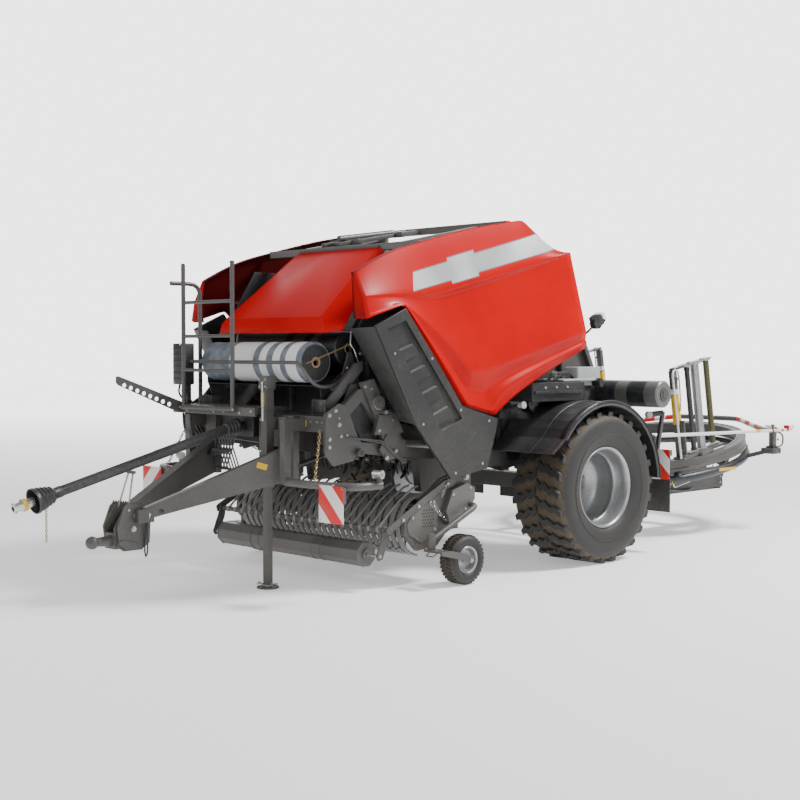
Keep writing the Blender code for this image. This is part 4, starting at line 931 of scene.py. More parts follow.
plates, dark_bits, zinc_bits = bmesh.new(), bmesh.new(), bmesh.new()
for side in (1, -1):
    pane(plates, [(-2.84, 1.06), (-2.835, 1.40), (-2.70, 1.475), (-2.62, 1.45), (-2.50, 1.20),
                  (-2.56, 1.10)],
         side * 0.917, side * 0.929)
    pane(plates, [(-2.30, 1.37), (-2.12, 1.38), (-2.03, 1.225), (-2.35, 1.215)], side * 0.915, side * 0.955)
    pane(plates, [(-2.46, 1.63), (-2.33, 1.66), (-2.05, 1.13), (-2.19, 1.09)], side * 0.885, side * 0.93)
    pane(dark_bits, [(-2.60, 1.46), (-2.52, 1.62), (-2.42, 1.62), (-2.20, 1.12), (-2.37, 1.13)],
         side * 0.845, side * 0.86)
    pane(plates, [(-2.76, 1.46), (-2.44, 1.78), (-2.36, 1.80), (-2.36, 1.73), (-2.70, 1.42)], side * 0.80,
         side * 0.83)
    pane(plates, [(-2.28, 1.10), (-2.20, 1.00), (-2.10, 1.02), (-2.05, 1.24), (-2.20, 1.22)], side * 0.925,
         side * 0.94)
    pin(plates, (side * 0.73, side * 0.97), (-2.50, 1.085), 0.032, 28)
    pin(dark_bits, (side * 0.95, side * 0.9712), (-2.50, 1.085), 0.024, 24)
    pin(zinc_bits, (side * 0.90, side * 0.96), (-2.30, 1.47), 0.057, 36)
    pin(plates, (side * 0.958, side * 0.966), (-2.30, 1.47), 0.052, 36)
    pin(plates, (side * 0.962, side * 0.976), (-2.30, 1.47), 0.018, 20)
    pin(zinc_bits, (side * 0.90, side * 0.985), (-2.25, 1.395), 0.017, 20)
    slab(dark_bits, (side * 0.93, side * 0.98), (-2.23, -2.11), (1.38, 1.415), 0.006)
    for drop in (0, 0.018):
        pipe(plates, on_side(side, (0.955, -2.63, 1.212), (0.955, -2.25, 1.165 - drop),
                             (0.955, -2.17, 1.09 - drop), (0.955, -2.07, 1.02 - drop),
                             (0.955, -2.00, 0.995 - drop)), 0.006, 0.06, 10)
    for y, z, size in ((-2.80, 1.385, 0.013), (-2.735, 1.42, 0.012), (-2.70, 1.31, 0.015),
                       (-2.80, 1.20, 0.013),
                       (-2.80, 1.14, 0.012), (-2.68, 1.22, 0.010), (-2.62, 1.225, 0.010),
                       (-2.70, 1.36, 0.007)):
        side_bolt(zinc_bits, side, (0.929, y, z), size)
    for y, z, size in ((-2.43, 1.60, 0.009), (-2.36, 1.58, 0.009), (-2.30, 1.25, 0.011),
                       (-2.22, 1.03, 0.014),
                       (-2.12, 1.08, 0.013), (-2.15, 1.33, 0.010)):
        bolt(zinc_bits, at(side * 0.955 if z < 1.4 else side * 0.93, y, z), (side, 0, 0), size)
    side_bolt(zinc_bits, side, (0.86, -2.50, 1.52), 0.008)
    for x in (0.72, 0.80, 0.86):
        bolt(zinc_bits, at(side * x, -2.812, 1.33), (0, -1, 0), 0.008)
    slab(plates, (side * 0.66, side * 0.82), (-2.75, -2.66), (1.378, 1.50), 0.004)
    slab(dark_bits, (side * 0.675, side * 0.805), (-2.757, -2.67), (1.39, 1.492), 0.003)
    pipe(plates, on_side(side, (0.63, -2.985, 0.865), (0.95, -2.985, 0.865), (1.27, -2.86, 0.86),
                         (1.30, -2.60, 0.86)), 0.0312, 0.10, 20)
    shaft(zinc_bits, at(side * 1.262, -2.64, 0.945), at(side * 1.335, -2.62, 0.945), 0.034, 28)
    bolt(zinc_bits, at(side * 1.335, -2.62, 0.945), (side, 0.1, 0), 0.012)
    bolt(zinc_bits, at(side * 1.14, -2.945, 0.868), (side * 0.3, -1, 0.1), 0.010)
piece(plates, "side_frame_plates", "chassis", frame_grey, edge=0.003)
piece(dark_bits, "side_frame_guards", "chassis", machine_black, edge=0.003)
piece(zinc_bits, "side_frame_bolts", "chassis", bolt_zinc)
shape = bmesh.new()
for side in (1, -1):
    chain(shape, at(side * 0.87, -2.84, 1.27), at(side * 0.98, -2.99, 0.892), 0.030, 0.0036)
piece(shape, "hanging_chains", "chassis", chain_gold)
shape = bmesh.new()
plaque(shape, at(0.625, -2.8112, 1.315), (0, -1, 0), (0, 0, 1), 0.085, 0.050)
plaque(shape, at(0.4705, -3.094, 0.985), (0.937, -0.349, 0), (0.11, 0.29, 1), 0.085, 0.046)
plaque(shape, at(0.340, -2.9838, 1.50), (0, -1, 0), (0, 0, 1), 0.036, 0.10)
piece(shape, "warning_stickers", "chassis", sticker_yellow)

# Drawbar and hitch: two plated beams meet in a fork that holds the swivelling ball eye; a two-rod
# prop carries the drive shaft when it is parked, and a rubber strap hangs beside it.
dress(frame_grey, "drawbar", "hitch_head", edge=0.004)
shape = bmesh.new()
bmesh.ops.create_uvsphere(shape, u_segments=40, v_segments=24, radius=0.0492,
                          matrix=Matrix.Translation(at(0, -4.322, 0.458)))
shaft(shape, at(0, -4.15, 0.46), at(0, -4.29, 0.458), 0.042, 32, 0.033)
for side in (1, -1):
    cheek = [(-4.17, 0.56), (-4.15, 0.43), (-4.09, 0.39), (-3.95, 0.39), (-3.885, 0.43), (-3.875, 0.60),
             (-3.93, 0.66), (-3.93, 0.70)]
    for i in range(7):
        y = -3.945 - 0.022 * i
        cheek += [(y, 0.735 + 0.003 * i), (y - 0.008, 0.715 + 0.003 * i)]
    cheek += [(-4.11, 0.71)]
    pane(shape, cheek, side * 0.086, side * 0.104)
    pane(shape, [(-4.17, 0.45), (-4.10, 0.40), (-4.0, 0.40), (-4.0, 0.44), (-4.13, 0.47)], side * 0.104,
         side * 0.112)
piece(shape, "hitch_eye", "chassis", frame_grey, edge=0.003)
shape = bmesh.new()
for side in (1, -1):
    for y, z, size in ((-4.00, 0.645, 0.019), (-4.03, 0.545, 0.018), (-3.94, 0.70, 0.008),
                       (-4.07, 0.69, 0.008)):
        side_bolt(shape, side, (0.105, y, z), size)
    shaft(shape, at(side * 0.07, -4.05, 0.70), at(side * 0.03, -3.985, 0.955), 0.0068, 12)
piece(shape, "hitch_bolts", "chassis", bolt_zinc)
shape = bmesh.new()
pipe(shape, [at(0.125, -3.93, 0.60), at(0.108, -3.935, 0.37), at(0.128, -3.937, 0.322),
             at(0.150, -3.935, 0.37),
             at(0.132, -3.925, 0.60)], 0.0062, 0.03, 10)
bmesh.ops.create_uvsphere(shape, u_segments=24, v_segments=12, radius=0.018,
                          matrix=Matrix.Translation(at(0.192, -3.838, 0.668)))
piece(shape, "hitch_strap", "chassis", machine_black)
shape = bmesh.new()
plaque(shape, at(0.1555, -3.9345, 0.640), (0.937, -0.349, 0), (0.11, 0.29, 1), 0.036, 0.045)
piece(shape, "hitch_label", "chassis", sticker_white)

# Parking jack: a square leg slides in a square steel tube bolted to the crossbeam; a silver crank
# folds down its front and the round foot is held by a pin.
dress(frame_grey, "jack_housing", "jack_leg", edge=0.003)
shape = bmesh.new()
slab(shape, (0.302, 0.400), (-2.995, -2.897), (1.575, 1.685), 0.006)
slab(shape, (0.310, 0.392), (-2.987, -2.905), (0.80, 0.84), 0.003)
slab(shape, (0.425, 0.52), (-2.90, -2.83), (1.02, 1.36), 0.006)
slab(shape, (0.18, 0.27), (-2.90, -2.83), (1.02, 1.36), 0.006)
piece(shape, "jack_head", "chassis", frame_grey)
shape = bmesh.new()
pipe(shape, [at(0.366, -2.994, 1.64), at(0.366, -3.010, 1.632), at(0.370, -3.010, 1.60),
             at(0.374, -3.010, 1.36)], 0.0075, 0.015, 12)
shaft(shape, at(0.374, -3.010, 1.455), at(0.375, -3.010, 1.33), 0.0100, 16)
for x, z in ((0.314, 1.655), (0.388, 1.655), (0.314, 1.60), (0.388, 1.60)):
    bolt(shape, at(x, -2.995, z), (0, -1, 0), 0.006)
for x, z in ((0.49, 1.33), (0.45, 1.10), (0.22, 1.33), (0.22, 1.08), (0.47, 1.22)):
    bolt(shape, at(x, -2.901, z), (0, -1, 0), 0.011)
piece(shape, "jack_crank", "chassis", bright_steel)
shape = bmesh.new()
slab(shape, (0.315, 0.387), (-2.982, -2.910), (0.012, 0.030), 0.003)
shaft(shape, at(0.28, -3.0, 0.035), at(0.42, -2.90, 0.035), 0.006, 12)
shaft(shape, at(0.285, -2.97, 0.045), at(0.268, -2.99, 0.030), 0.007, 12)
for x, y in ((0.281, -2.946), (0.421, -2.946), (0.351, -3.016)):
    bolt(shape, at(x, y, 0.0145), (0, 0, 1), 0.007)
piece(shape, "jack_foot_pin", "jack_leg", bolt_zinc)

# Warning boards: four square sheet plates with red and white slanted bands on steel arms; rubber
# flaps hang behind the main tyres.
board_paint = Paint("warning_bands")
across = board_paint.node("Math", {0: board_paint.part("X")}, operation="ABSOLUTE")
rear = board_paint.ramp(board_paint.part("Y"), axle_y - 1.01, axle_y - 0.99)
stripe = across + board_paint.part("Z") - 1.639 - rear * 0.243
red_or_white = band(board_paint, stripe, 0.0, 0.14) + band(board_paint, stripe, 0.285, 0.43)
spots = board_paint.noise(90, 6)
grime = board_paint.ramp(spots + board_paint.noise(5, 3) * 0.6, 0.78, 1.1) * 0.35
bands = board_paint.mix(red_or_white, (0.60, 0.006, 0.008), (0.74, 0.73, 0.71))
board_paint = board_paint.wear(Base_Color=board_paint.mix(grime, bands, (0.30, 0.22, 0.14)),
                               Roughness=0.34 + grime, Normal=board_paint.bump(spots, 0.0004))
zinc_bits = bmesh.new()
dark_bits = bmesh.new()
for side, name in ((1, "left"), (-1, "right")):
    shape = bmesh.new()
    slab(shape, (side * 1.045, side * 1.327), (-3.0068, -3.0042), (0.594, 0.876), 0.0008)
    piece(shape, "board_front_" + name, "chassis", board_paint,
          ("warning_board_front_" + name,))
    shape = bmesh.new()
    slab(shape, (side * 1.16, side * 1.442), (0.9268, 0.9296), (0.677, 0.959), 0.0008)
    piece(shape, "board_rear_" + name, "chassis", board_paint,
          ("warning_board_rear_" + name,))
    for x in (1.062, 1.310):
        for z in (0.611, 0.859):
            bolt(zinc_bits, at(side * x, -3.007, z), (0, -1, 0), 0.005)
            bolt(zinc_bits, at(side * (x + 0.115), 0.9267, z + 0.083), (0, -1, 0), 0.005)
    slab(zinc_bits, (side * 1.25, side * 1.43), (0.955, 0.962), (0.60, 0.665), 0.002)
    slab(dark_bits, (side * 0.922, side * 1.438), (0.9405, 0.9495), (0.372, 0.898), 0.003)
    for x in (1.0, 1.2, 1.4):
        bolt(zinc_bits, at(side * x, 0.9395, 0.885), (0, -1, 0), 0.007)
piece(zinc_bits, "board_screws", "chassis", bolt_zinc)
piece(dark_bits, "flaps", "chassis", machine_black, ("mudflap_left", "mudflap_right"))

# Platform: a folded steel step deck on the crossbeam with a toothed top, an expanded mesh guard
# below it, a bent tube handrail and a tilting tube ladder; all in the frame's paint.
dress(frame_grey, "platform", edge=0.005)
shape = bmesh.new()
for i in range(20):
    for j in range(5):
        x, y = -0.80 + 0.056 * i, -2.975 + 0.058 * j
        shaft(shape, at(x, y, 1.4295), at(x, y, 1.4335), 0.014, 12, 0.011)
for i in range(17):
    for lean in (-0.055, 0.055):
        x = -0.80 + 0.04 * i
        low_x = min(max(x + lean * 3.2, -0.80), -0.12)
        if abs(low_x - x - lean * 3.2) < 0.001:
            shaft(shape, at(x, -2.845, 1.245), at(low_x, -2.845, 0.90), 0.0065, 6)
girder(shape, at(-0.82, -2.845, 1.245), at(-0.10, -2.845, 1.245), 0.02, 0.02)
girder(shape, at(-0.82, -2.845, 0.90), at(-0.10, -2.845, 0.90), 0.02, 0.02)
girder(shape, at(-0.82, -2.845, 1.25), at(-0.82, -2.845, 0.90), 0.02, 0.02)
piece(shape, "deck_grip_and_mesh", "chassis", frame_grey)
shape = bmesh.new()
for x, z in ((-0.79, 1.395), (-0.70, 1.405), (-0.62, 1.385), (-0.25, 1.39), (-0.12, 1.395), (0.10, 1.385),
             (0.25, 1.40)):
    bolt(shape, at(x, -3.0262, z), (0, -1, 0), 0.010)
for x in (-0.676, 0.06):
    bolt(shape, at(x, -3.064, 1.41), (0, -1, 0), 0.009)
piece(shape, "deck_bolts", "chassis", bolt_zinc)
shape = bmesh.new()
pipe(shape, [at(-0.8503, -2.73, 1.408), at(-0.8503, -2.73, 2.45), at(-0.8503, -3.02, 2.45)], 0.018, 0.11,
     16)
shaft(shape, at(-0.8503, -3.015, 2.45), at(-0.8503, -3.03, 2.45), 0.0185, 16)
piece(shape, "handrail_tube", "chassis", frame_grey, ("handrail",))
shape = bmesh.new()
shaft(shape, at(-0.646, -3.045, 1.41), at(-0.646, -3.045, 2.60), 0.018, 20)
shaft(shape, at(-0.646, -3.045, 2.595), at(-0.646, -3.045, 2.606), 0.019, 20, 0.012)
shaft(shape, at(0.03, -3.045, 1.41), at(0.03, -3.045, 2.60), 0.018, 20)
pin(shape, (-0.676, 0.06), (-3.045, 1.41), 0.0202, 20)
for z in (1.72, 2.00, 2.28):
    pin(shape, (-0.646, 0.03), (-3.045, z), 0.0142, 16)
piece(shape, "ladder_tubes", "ladder", frame_grey, ("ladder",))

# Control box and hose arm: a black moulded box of valves beside the ladder, and a slotted steel
# bracket that parks the couplings ahead of it.
shape = bmesh.new()
slab(shape, (-0.873, -0.722), (-3.0, -2.88), (1.594, 1.942), 0.010)
slab(shape, (-0.827, -0.742), (-2.94, -2.90), (1.431, 1.60), 0.004)
for i in range(6):
    slab(shape, (-0.86, -0.735), (-3.006, -2.999), (1.63 + 0.05 * i, 1.65 + 0.05 * i), 0.002)
for x in (-0.85, -0.80, -0.75):
    pipe(shape, [at(x, -2.94, 1.60), at(x, -2.96, 1.52), at(x + 0.03, -2.90, 1.44),
                 at(x + 0.10, -2.86, 1.20),
                 at(x + 0.30, -2.86, 1.05)], 0.009, 0.05, 10)
piece(shape, "control_box_case", "chassis", machine_black, ("control_box",))
shape = bmesh.new()
bolt(shape, at(-0.76, -3.0, 1.93), (0, -1, 0), 0.006)
bolt(shape, at(-0.84, -3.0, 1.61), (0, -1, 0), 0.006)
piece(shape, "control_box_screws", "chassis", bolt_zinc)
shape = bmesh.new()
slots = []
for i in range(8):
    y, z = -3.15 - 0.062 * i, 1.435 + 0.0236 * i
    slots.append([(y + 0.018 * math.cos(a) * (1.0 if math.cos(a) > 0 else 1.25), z + 0.018 * math.sin(a))
                  for a in (2 * math.pi * k / 14 for k in range(14))])
pane(shape, [(-3.025, 1.362), (-3.025, 1.452), (-3.64, 1.675), (-3.664, 1.672), (-3.664, 1.622),
             (-3.64, 1.60), (-3.10, 1.380)],
     -0.711, -0.699, holes=slots)
slab(shape, (-0.745, -0.697), (-3.04, -3.0255), (1.362, 1.45), 0.002)
piece(shape, "hose_arm_plate", "chassis", frame_grey, ("hose_arm",), edge=0.0015)

# Net and film rolls: two long rolls of wrapping lie in an open black tray on grey cheeks, one of
# white net with blue-grey bands and one of dark film, behind a bent tube guard.
shape = bmesh.new()
net(shape, [[at(x, y, z) for x in (-0.70, 0.0, 0.70)] for y, z in
            ((-2.77, 1.607), (-2.62, 1.605), (-2.40, 1.66), (-2.20, 1.72), (-2.16, 2.05))])
piece(shape, "net_tray", "chassis", machine_black, ("net_box",), shell=0.004)
shape = bmesh.new()
cheek_back = [(-2.66, 1.361), (-2.40, 1.361), (-2.16, 1.60), (-2.14, 2.05), (-2.30, 2.05)]
pane(shape, cheek_back + [(-2.62, 1.83), (-2.76, 1.83), (-2.76, 1.62)], -0.694, -0.706)
pane(shape, cheek_back + [(-2.44, 1.74), (-2.62, 1.595), (-2.70, 1.595)], 0.694, 0.706)
for side in (1, -1):
    pane(shape, [(-2.45, 2.06), (-2.12, 2.58), (-1.32, 2.56), (-1.40, 1.60), (-1.80, 1.62), (-2.10, 1.78)],
         side * 0.865, side * 0.875)
slab(shape, (-0.86, 0.86), (-2.03, -2.00), (1.30, 1.86), 0.004)
for x in (-0.45, 0.0, 0.45):
    slab(shape, (x - 0.03, x + 0.03), (-2.08, -2.02), (1.36, 1.80), 0.008)
piece(shape, "net_cheeks", "chassis", machine_black, edge=0.002)


def film(name, light, dark, edges, gloss=0.35):
    """Wound film: lengthwise bands by distance from the middle, fine winding lines, taut wrinkles with
    painted shade in them.
    """
    paint = Paint(name)
    x = paint.node("Math", {0: paint.part("X")},
                   operation="ABSOLUTE") if name == "spare_film" else paint.part("X")
    shade = 0
    for low, high in edges:
        shade = shade + band(paint, x, low, high, 0.003)
    wound = paint.noise(260, 2)
    creases_and_shade = paint.noise(14, 5)
    tone = paint.mix(shade, light, dark)
    # The wrinkle mask pulls the colour towards 70 % of the light tone: painted shade in the wrinkles, which
    # also lightens the dark bands a little.
    return paint.wear(Base_Color=paint.mix(paint.ramp(creases_and_shade, 0.35, 0.75) * 0.35, tone,
                                           tuple(c * 0.7 for c in light)),
                      Roughness=gloss + creases_and_shade * 0.15, Normal=paint.bump(wound * 0.3 + creases_and_shade, 0.0015,
                              0.6))


net_film = film("net_film", (0.72, 0.72, 0.71), (0.085, 0.115, 0.15),
                ((-0.66, -0.26), (0.055, 0.135), (0.225, 0.305), (0.40, 0.47), (0.60, 0.66)))
dark_film = film("dark_film", (0.075, 0.08, 0.085), (0.013, 0.015, 0.017), ((0.0, 0.10), (0.25, 0.33),
        (0.42, 0.66)), 0.28)
spare_film = film("spare_film", (0.125, 0.125, 0.122), (0.014, 0.016, 0.02), ((0.70, 0.95), (1.09, 1.285)),
                  0.28)
core_card = dusty("core_card", (0.36, 0.235, 0.15), 0.6, 0.15)
for name, y, z, radius, paint in (("net_roll", -2.70, 1.79, 0.162, net_film),
                                  ("film_roll", -2.36, 1.90, 0.1395, dark_film)):
    place = Matrix.Translation(at(0, y, z)) @ Matrix.Rotation(math.pi / 2, 4, "Y")
    shape = bmesh.new()
    lathe(shape, [(0.036, -0.648), (radius - 0.012, -0.650), (radius, -0.640), (radius, -0.2),
                  (radius, 0.2), (radius, 0.640),
                  (radius - 0.012, 0.650), (0.036, 0.648)], place, 96)
    piece(shape, name + "_wound", "chassis", paint, (name,))
    shape = bmesh.new()
    for side in (1, -1):
        lathe(shape, [(0.043, side * 0.6505), (radius - 0.022, side * 0.6505),
                      (radius - 0.021, side * 0.6535),
                      (0.044, side * 0.6535), (0.043, side * 0.6505)], place, 64)
    piece(shape, name + "_discs", "chassis", machine_black)
    shape = bmesh.new()
    for side in (1, -1):
        lathe(shape, [(0.031, side * 0.63), (0.043, side * 0.63), (0.043, side * 0.657),
                      (0.031, side * 0.657),
                      (0.031, side * 0.63)], place, 40)
    piece(shape, name + "_core", "chassis", core_card)
shape = bmesh.new()
pipe(shape, [at(-0.705, -2.93, 1.79), at(0.70, -2.93, 1.79), at(0.76, -2.93, 1.755), at(0.765, -2.80, 1.60),
             at(0.765, -2.60, 1.60),
             at(0.72, -2.44, 1.70)], 0.0148, 0.09, 16)
shaft(shape, at(-0.70, -2.93, 1.79), at(-0.70, -2.72, 1.79), 0.0146, 16)
for side in (1, -1):
    pane(shape, [(-2.48, 1.69), (-2.42, 1.86), (-2.385, 1.875), (-2.29, 1.62), (-2.36, 1.58),
                 (-2.46, 1.62)],
         side * 0.7065, side * 0.722)
    slab(shape, (side * 0.66, side * 0.80), (-2.60, -2.47), (1.565, 1.60), 0.004)
piece(shape, "roll_guard", "chassis", frame_grey)
shape = bmesh.new()
for side in (1, -1):
    pipe(shape, on_side(side, (0.742, -2.405, 2.06), (0.742, -2.415, 1.93), (0.742, -2.375, 1.89),
                        (0.742, -2.30, 1.72)), 0.008, 0.02, 10)
    side_bolt(shape, side, (0.724, -2.43, 1.74), 0.012)
    side_bolt(shape, side, (0.724, -2.34, 1.66), 0.009)
    side_bolt(shape, side, (0.73, -2.30, 1.86), 0.012)
piece(shape, "roll_guard_rods", "chassis", bright_steel)
shape = bmesh.new()
chain(shape, at(0.735, -2.86, 1.785), at(0.74, -2.42, 1.93), 0.020, 0.0024)
piece(shape, "roll_chain", "chassis", chain_gold)
shape = bmesh.new()
for side in (1, -1):
    pane(shape, [(-2.30, 1.90), (-2.19, 2.02), (-2.05, 1.86), (-2.10, 1.62), (-2.26, 1.58)], side * 0.70,
         side * 0.80)
    girder(shape, at(side * 0.76, -2.24, 1.60), at(side * 0.80, -2.05, 1.95), 0.05, 0.05)
    for i, (y, z) in enumerate(((-2.28, 1.78), (-2.18, 1.70), (-2.10, 1.80))):
        pin(shape, (side * 0.80, side * (0.815 + 0.01 * i)), (y, z), 0.03 + 0.008 * i, 24)
piece(shape, "net_feed_housing", "chassis", machine_black, edge=0.004)

# Bale chamber: ribbed steel rollers run between two flanged side plates; the rear half is hinged at
# the top as the tailgate, closed by two hydraulic cylinders, under a roof frame of square bars.
chamber_paint = Paint("chamber_paint")
marks = chamber_paint.noise(38, 6)
bars = chamber_paint.ramp(chamber_paint.part("Z"), 2.66, 2.67)
chamber_paint = chamber_paint.wear(Base_Color=chamber_paint.mix(bars, (0.028, 0.029, 0.031),
        (0.125, 0.120, 0.113)),
                                   Roughness=0.42 + marks * 0.15)
dress(chamber_paint, "chamber_front", edge=0.003)
dress(frame_grey, "tailgate", edge=0.003)
chamber_y, chamber_z, circle = -0.50, 1.64, 0.725
for name, body, turns in (("front", "chassis", (100, 120, 140, 160, 180, 200, 240, 260)),
                          ("rear", "tailgate", (-80, -60, -40, -20, 0, 20, 40, 60, 80))):
    shape = bmesh.new()
    ends = bmesh.new()
    for turn in turns:
        a = math.radians(turn)
        y, z = chamber_y + circle * math.cos(a), chamber_z + circle * math.sin(a)
        pin(shape, (-0.62, 0.62), (y, z), 0.090, 32)
        for k in range(10):
            b = 2 * math.pi * k / 10
            girder(shape, at(-0.62, y + 0.089 * math.cos(b), z + 0.089 * math.sin(b)),
                   at(0.62, y + 0.089 * math.cos(b), z + 0.089 * math.sin(b)), 0.010, 0.010, 0.001)
        for side in (1, -1):
            pin(ends, (side * 0.632, side * 0.652), (y, z), 0.05, 28)
            pin(ends, (side * 0.64, side * 0.662), (y, z), 0.024, 20)
            for k in range(3):
                b = a + 2 * math.pi * k / 3
                bolt(ends, at(side * 0.651, y + 0.038 * math.cos(b), z + 0.038 * math.sin(b)), (side, 0, 0),
                     0.006)
    piece(shape, "chamber_rollers_" + name, body, roller_black)
    piece(ends, "chamber_bearings_" + name, body, bolt_zinc)
shape = bmesh.new()
for side in (1, -1):
    for start, end in (((0.30, 2.28), (0.30, 1.05)), ((0.30, 1.60), (0.80, 1.60)),
                       ((0.05, 0.97), (0.58, 1.13)),
                       ((0.58, 1.13), (0.80, 1.36)), ((0.80, 1.60), (0.58, 2.02)),
                       ((0.58, 2.02), (-0.10, 2.50))):
        girder(shape, at(side * 0.66, *start), at(side * 0.66, *end), 0.045, 0.05, 0.004)
for z, y in ((1.42, 0.866), (1.62, 0.862), (1.90, 0.742), (2.15, 0.60), (2.32, 0.40)):
    slab(shape, (-0.60, 0.60), (y - 0.02, y), (z - 0.02, z + 0.02), 0.004)
piece(shape, "tailgate_ribs", "tailgate", frame_grey)
shape = bmesh.new()
for side in (1, -1):
    for start, end in (((-0.58, 2.46), (-0.58, 0.93)), ((-1.36, 1.98), (-0.58, 1.98)),
                       ((-1.36, 1.42), (-0.60, 1.42)),
                       ((-1.28, 2.36), (-0.62, 2.52)), ((-1.40, 1.42), (-1.40, 1.96))):
        girder(shape, at(side * 0.657, *start), at(side * 0.657, *end), 0.04, 0.05, 0.004)
    shaft(shape, at(side * 0.74, -0.30, 1.30), at(side * 0.74, -0.38, 1.95), 0.036, 28)
    for y in (-1.72, -1.35, -0.98):
        slab(shape, (side * 0.66, side * 0.93), (y - 0.02, y + 0.02), (2.57 + (y + 1.85) * 0.19,
                2.60 + (y + 1.85) * 0.19), 0.004)
piece(shape, "chamber_ribs", "chassis", machine_black)
shape = bmesh.new()
for side in (1, -1):
    shaft(shape, at(side * 0.74, -0.38, 1.95), at(side * 0.74, -0.43, 2.36), 0.018, 20)
    pin(shape, (side * 0.66, side * 0.78), (-0.30, 1.30), 0.024, 20)
piece(shape, "tailgate_rods", "chassis", bright_steel)
shape = bmesh.new()
for x in (-0.30, -0.12):
    girder(shape, at(x, -1.80, 2.80), at(x, -0.84, 2.965), 0.05, 0.035, 0.004)
shaft(shape, at(-0.21, -1.70, 2.86), at(-0.21, -1.05, 2.95), 0.028, 24)
shaft(shape, at(-0.21, -1.05, 2.95), at(-0.21, -0.89, 2.972), 0.014, 16)
for y, z in ((-1.62, 2.83), (-1.10, 2.92)):
    slab(shape, (-0.40, -0.02), (y - 0.025, y + 0.025), (z - 0.02, z + 0.025), 0.004)
piece(shape, "roof_linkage", "chassis", frame_grey)

# Drive line: a cast gearbox on the crossbeam, a guarded telescopic shaft with a ribbed black bell
# and a yellow release collar, and the bare yoke at its tip.
dress(machine_black, "gearbox", edge=0.012)
slope = math.radians(14.7)
fall = Vector((0, -1, -math.tan(slope))).normalized()
root = at(0, -2.98, 1.28)
line = Matrix.Translation(root) @ fall.to_track_quat("Z", "X").to_matrix().to_4x4()
bell, front = (4.66 - 2.98) / math.cos(slope), (4.80 - 2.98) / math.cos(slope)
shape = bmesh.new()
lathe(shape, [(0.0, -0.01), (0.058, -0.01), (0.063, 0.004), (0.063, 0.02), (0.055, 0.03), (0.06, 0.045),
              (0.052, 0.06), (0.057, 0.075),
              (0.05, 0.09), (0.054, 0.104), (0.047, 0.12), (0.040, 0.125), (0.040, 0.80), (0.0385, 0.802),
              (0.0385, bell - 0.09), (0.043, bell - 0.085), (0.043, bell - 0.03), (0.058, bell - 0.012),
              (0.066, bell),
              (0.062, bell + 0.016), (0.074, bell + 0.03), (0.069, bell + 0.045), (0.082, bell + 0.06),
              (0.077, bell + 0.076), (0.089, bell + 0.092), (0.084, bell + 0.108), (0.096, bell + 0.124),
              (0.096, front - 0.001), (0.088, front - 0.001), (0.070, bell + 0.06), (0.0, bell + 0.05)],
              line, 56)
piece(shape, "shaft_guard", "pto_shaft", machine_black, ("pto_guard",))
shape = bmesh.new()
lathe(shape, [(0.036, front + 0.001), (0.036, front + 0.05), (0.042, front + 0.055), (0.042, front + 0.095),
              (0.034, front + 0.10),
              (0.030, front + 0.162), (0.020, front + 0.164), (0.020, front + 0.02)], line, 40)
for turn in (0, math.pi):
    for spread in (-0.016, 0.016):
        spot = line @ Vector((0.030 * math.cos(turn), 0.030 * math.sin(turn) + spread, front + 0.145))
        shaft(shape, spot, spot + fall * 0.016, 0.007, 12)
piece(shape, "shaft_yoke", "pto_yoke", bright_steel, ("pto_yoke",))
shape = bmesh.new()
lathe(shape, [(0.0425, front + 0.060), (0.0465, front + 0.062), (0.0465, front + 0.090),
              (0.0425, front + 0.092)], line, 40)
piece(shape, "yoke_collar", "pto_yoke", sticker_yellow)
shape = bmesh.new()
chain(shape, at(0.005, -4.70, 0.78), at(0.005, -4.70, 0.50), 0.024, 0.0028)
piece(shape, "shaft_chain", "pto_shaft", chain_gold)

# Mudguards: rolled steel arches over the main tyres in the dark frame finish, with a wired outer
# lip and a welded inner apron; black valve boxes and a pale oil tank sit on them.
lip_grey = dusty("lip_grey", (0.030, 0.033, 0.037), 0.26, 0.30, scale=260, metal=0.2)
dress(lip_grey, "fender_left", "fender_right", edge=0.002)
guard_radius = 0.755
arch = [(guard_radius * math.cos(a), tread_radius + guard_radius * math.sin(a))
        for a in (math.radians(3 + 140 * i / 40) for i in range(41))]
arch.append((arch[-1][0] - 0.17, arch[-1][1] - 0.12))
shape = bmesh.new()
for side in (1, -1):
    for x in (1.452, 1.20):
        pipe(shape, [at(side * x, y, z + 0.006) for y, z in arch], 0.0105 if x > 1.4 else 0.004, 0.0, 10)
    rows = []
    for x, lift in ((1.456, -0.034), (1.462, -0.004), (1.456, 0.008), (1.43, 0.010), (1.40, 0.0085)):
        grow = 1 + lift / guard_radius
        rows.append([at(side * x, y * grow, tread_radius + (z - tread_radius) * grow) for y,
                     z in arch[:-1]])
    net(shape, rows)
piece(shape, "fender_lips", "chassis", lip_grey, shell=0.002)
dress(machine_black, "valve_box_left", "valve_box_right", edge=0.010)
tank_grey = dusty("tank_grey", (0.42, 0.43, 0.43), 0.40, 0.22, scale=500)
dress(tank_grey, "oil_tank", edge=0.012)
shape = bmesh.new()
shaft(shape, at(1.022, 0.335, 1.585), at(1.10, 0.345, 1.585), 0.040, 28)
for k in range(14):
    b = 2 * math.pi * k / 14
    slab(shape, (1.03, 1.095), (0.345 + 0.040 * math.cos(b) - 0.004, 0.345 + 0.040 * math.cos(b) + 0.004),
         (1.585 + 0.040 * math.sin(b) - 0.004, 1.585 + 0.040 * math.sin(b) + 0.004), 0.002)
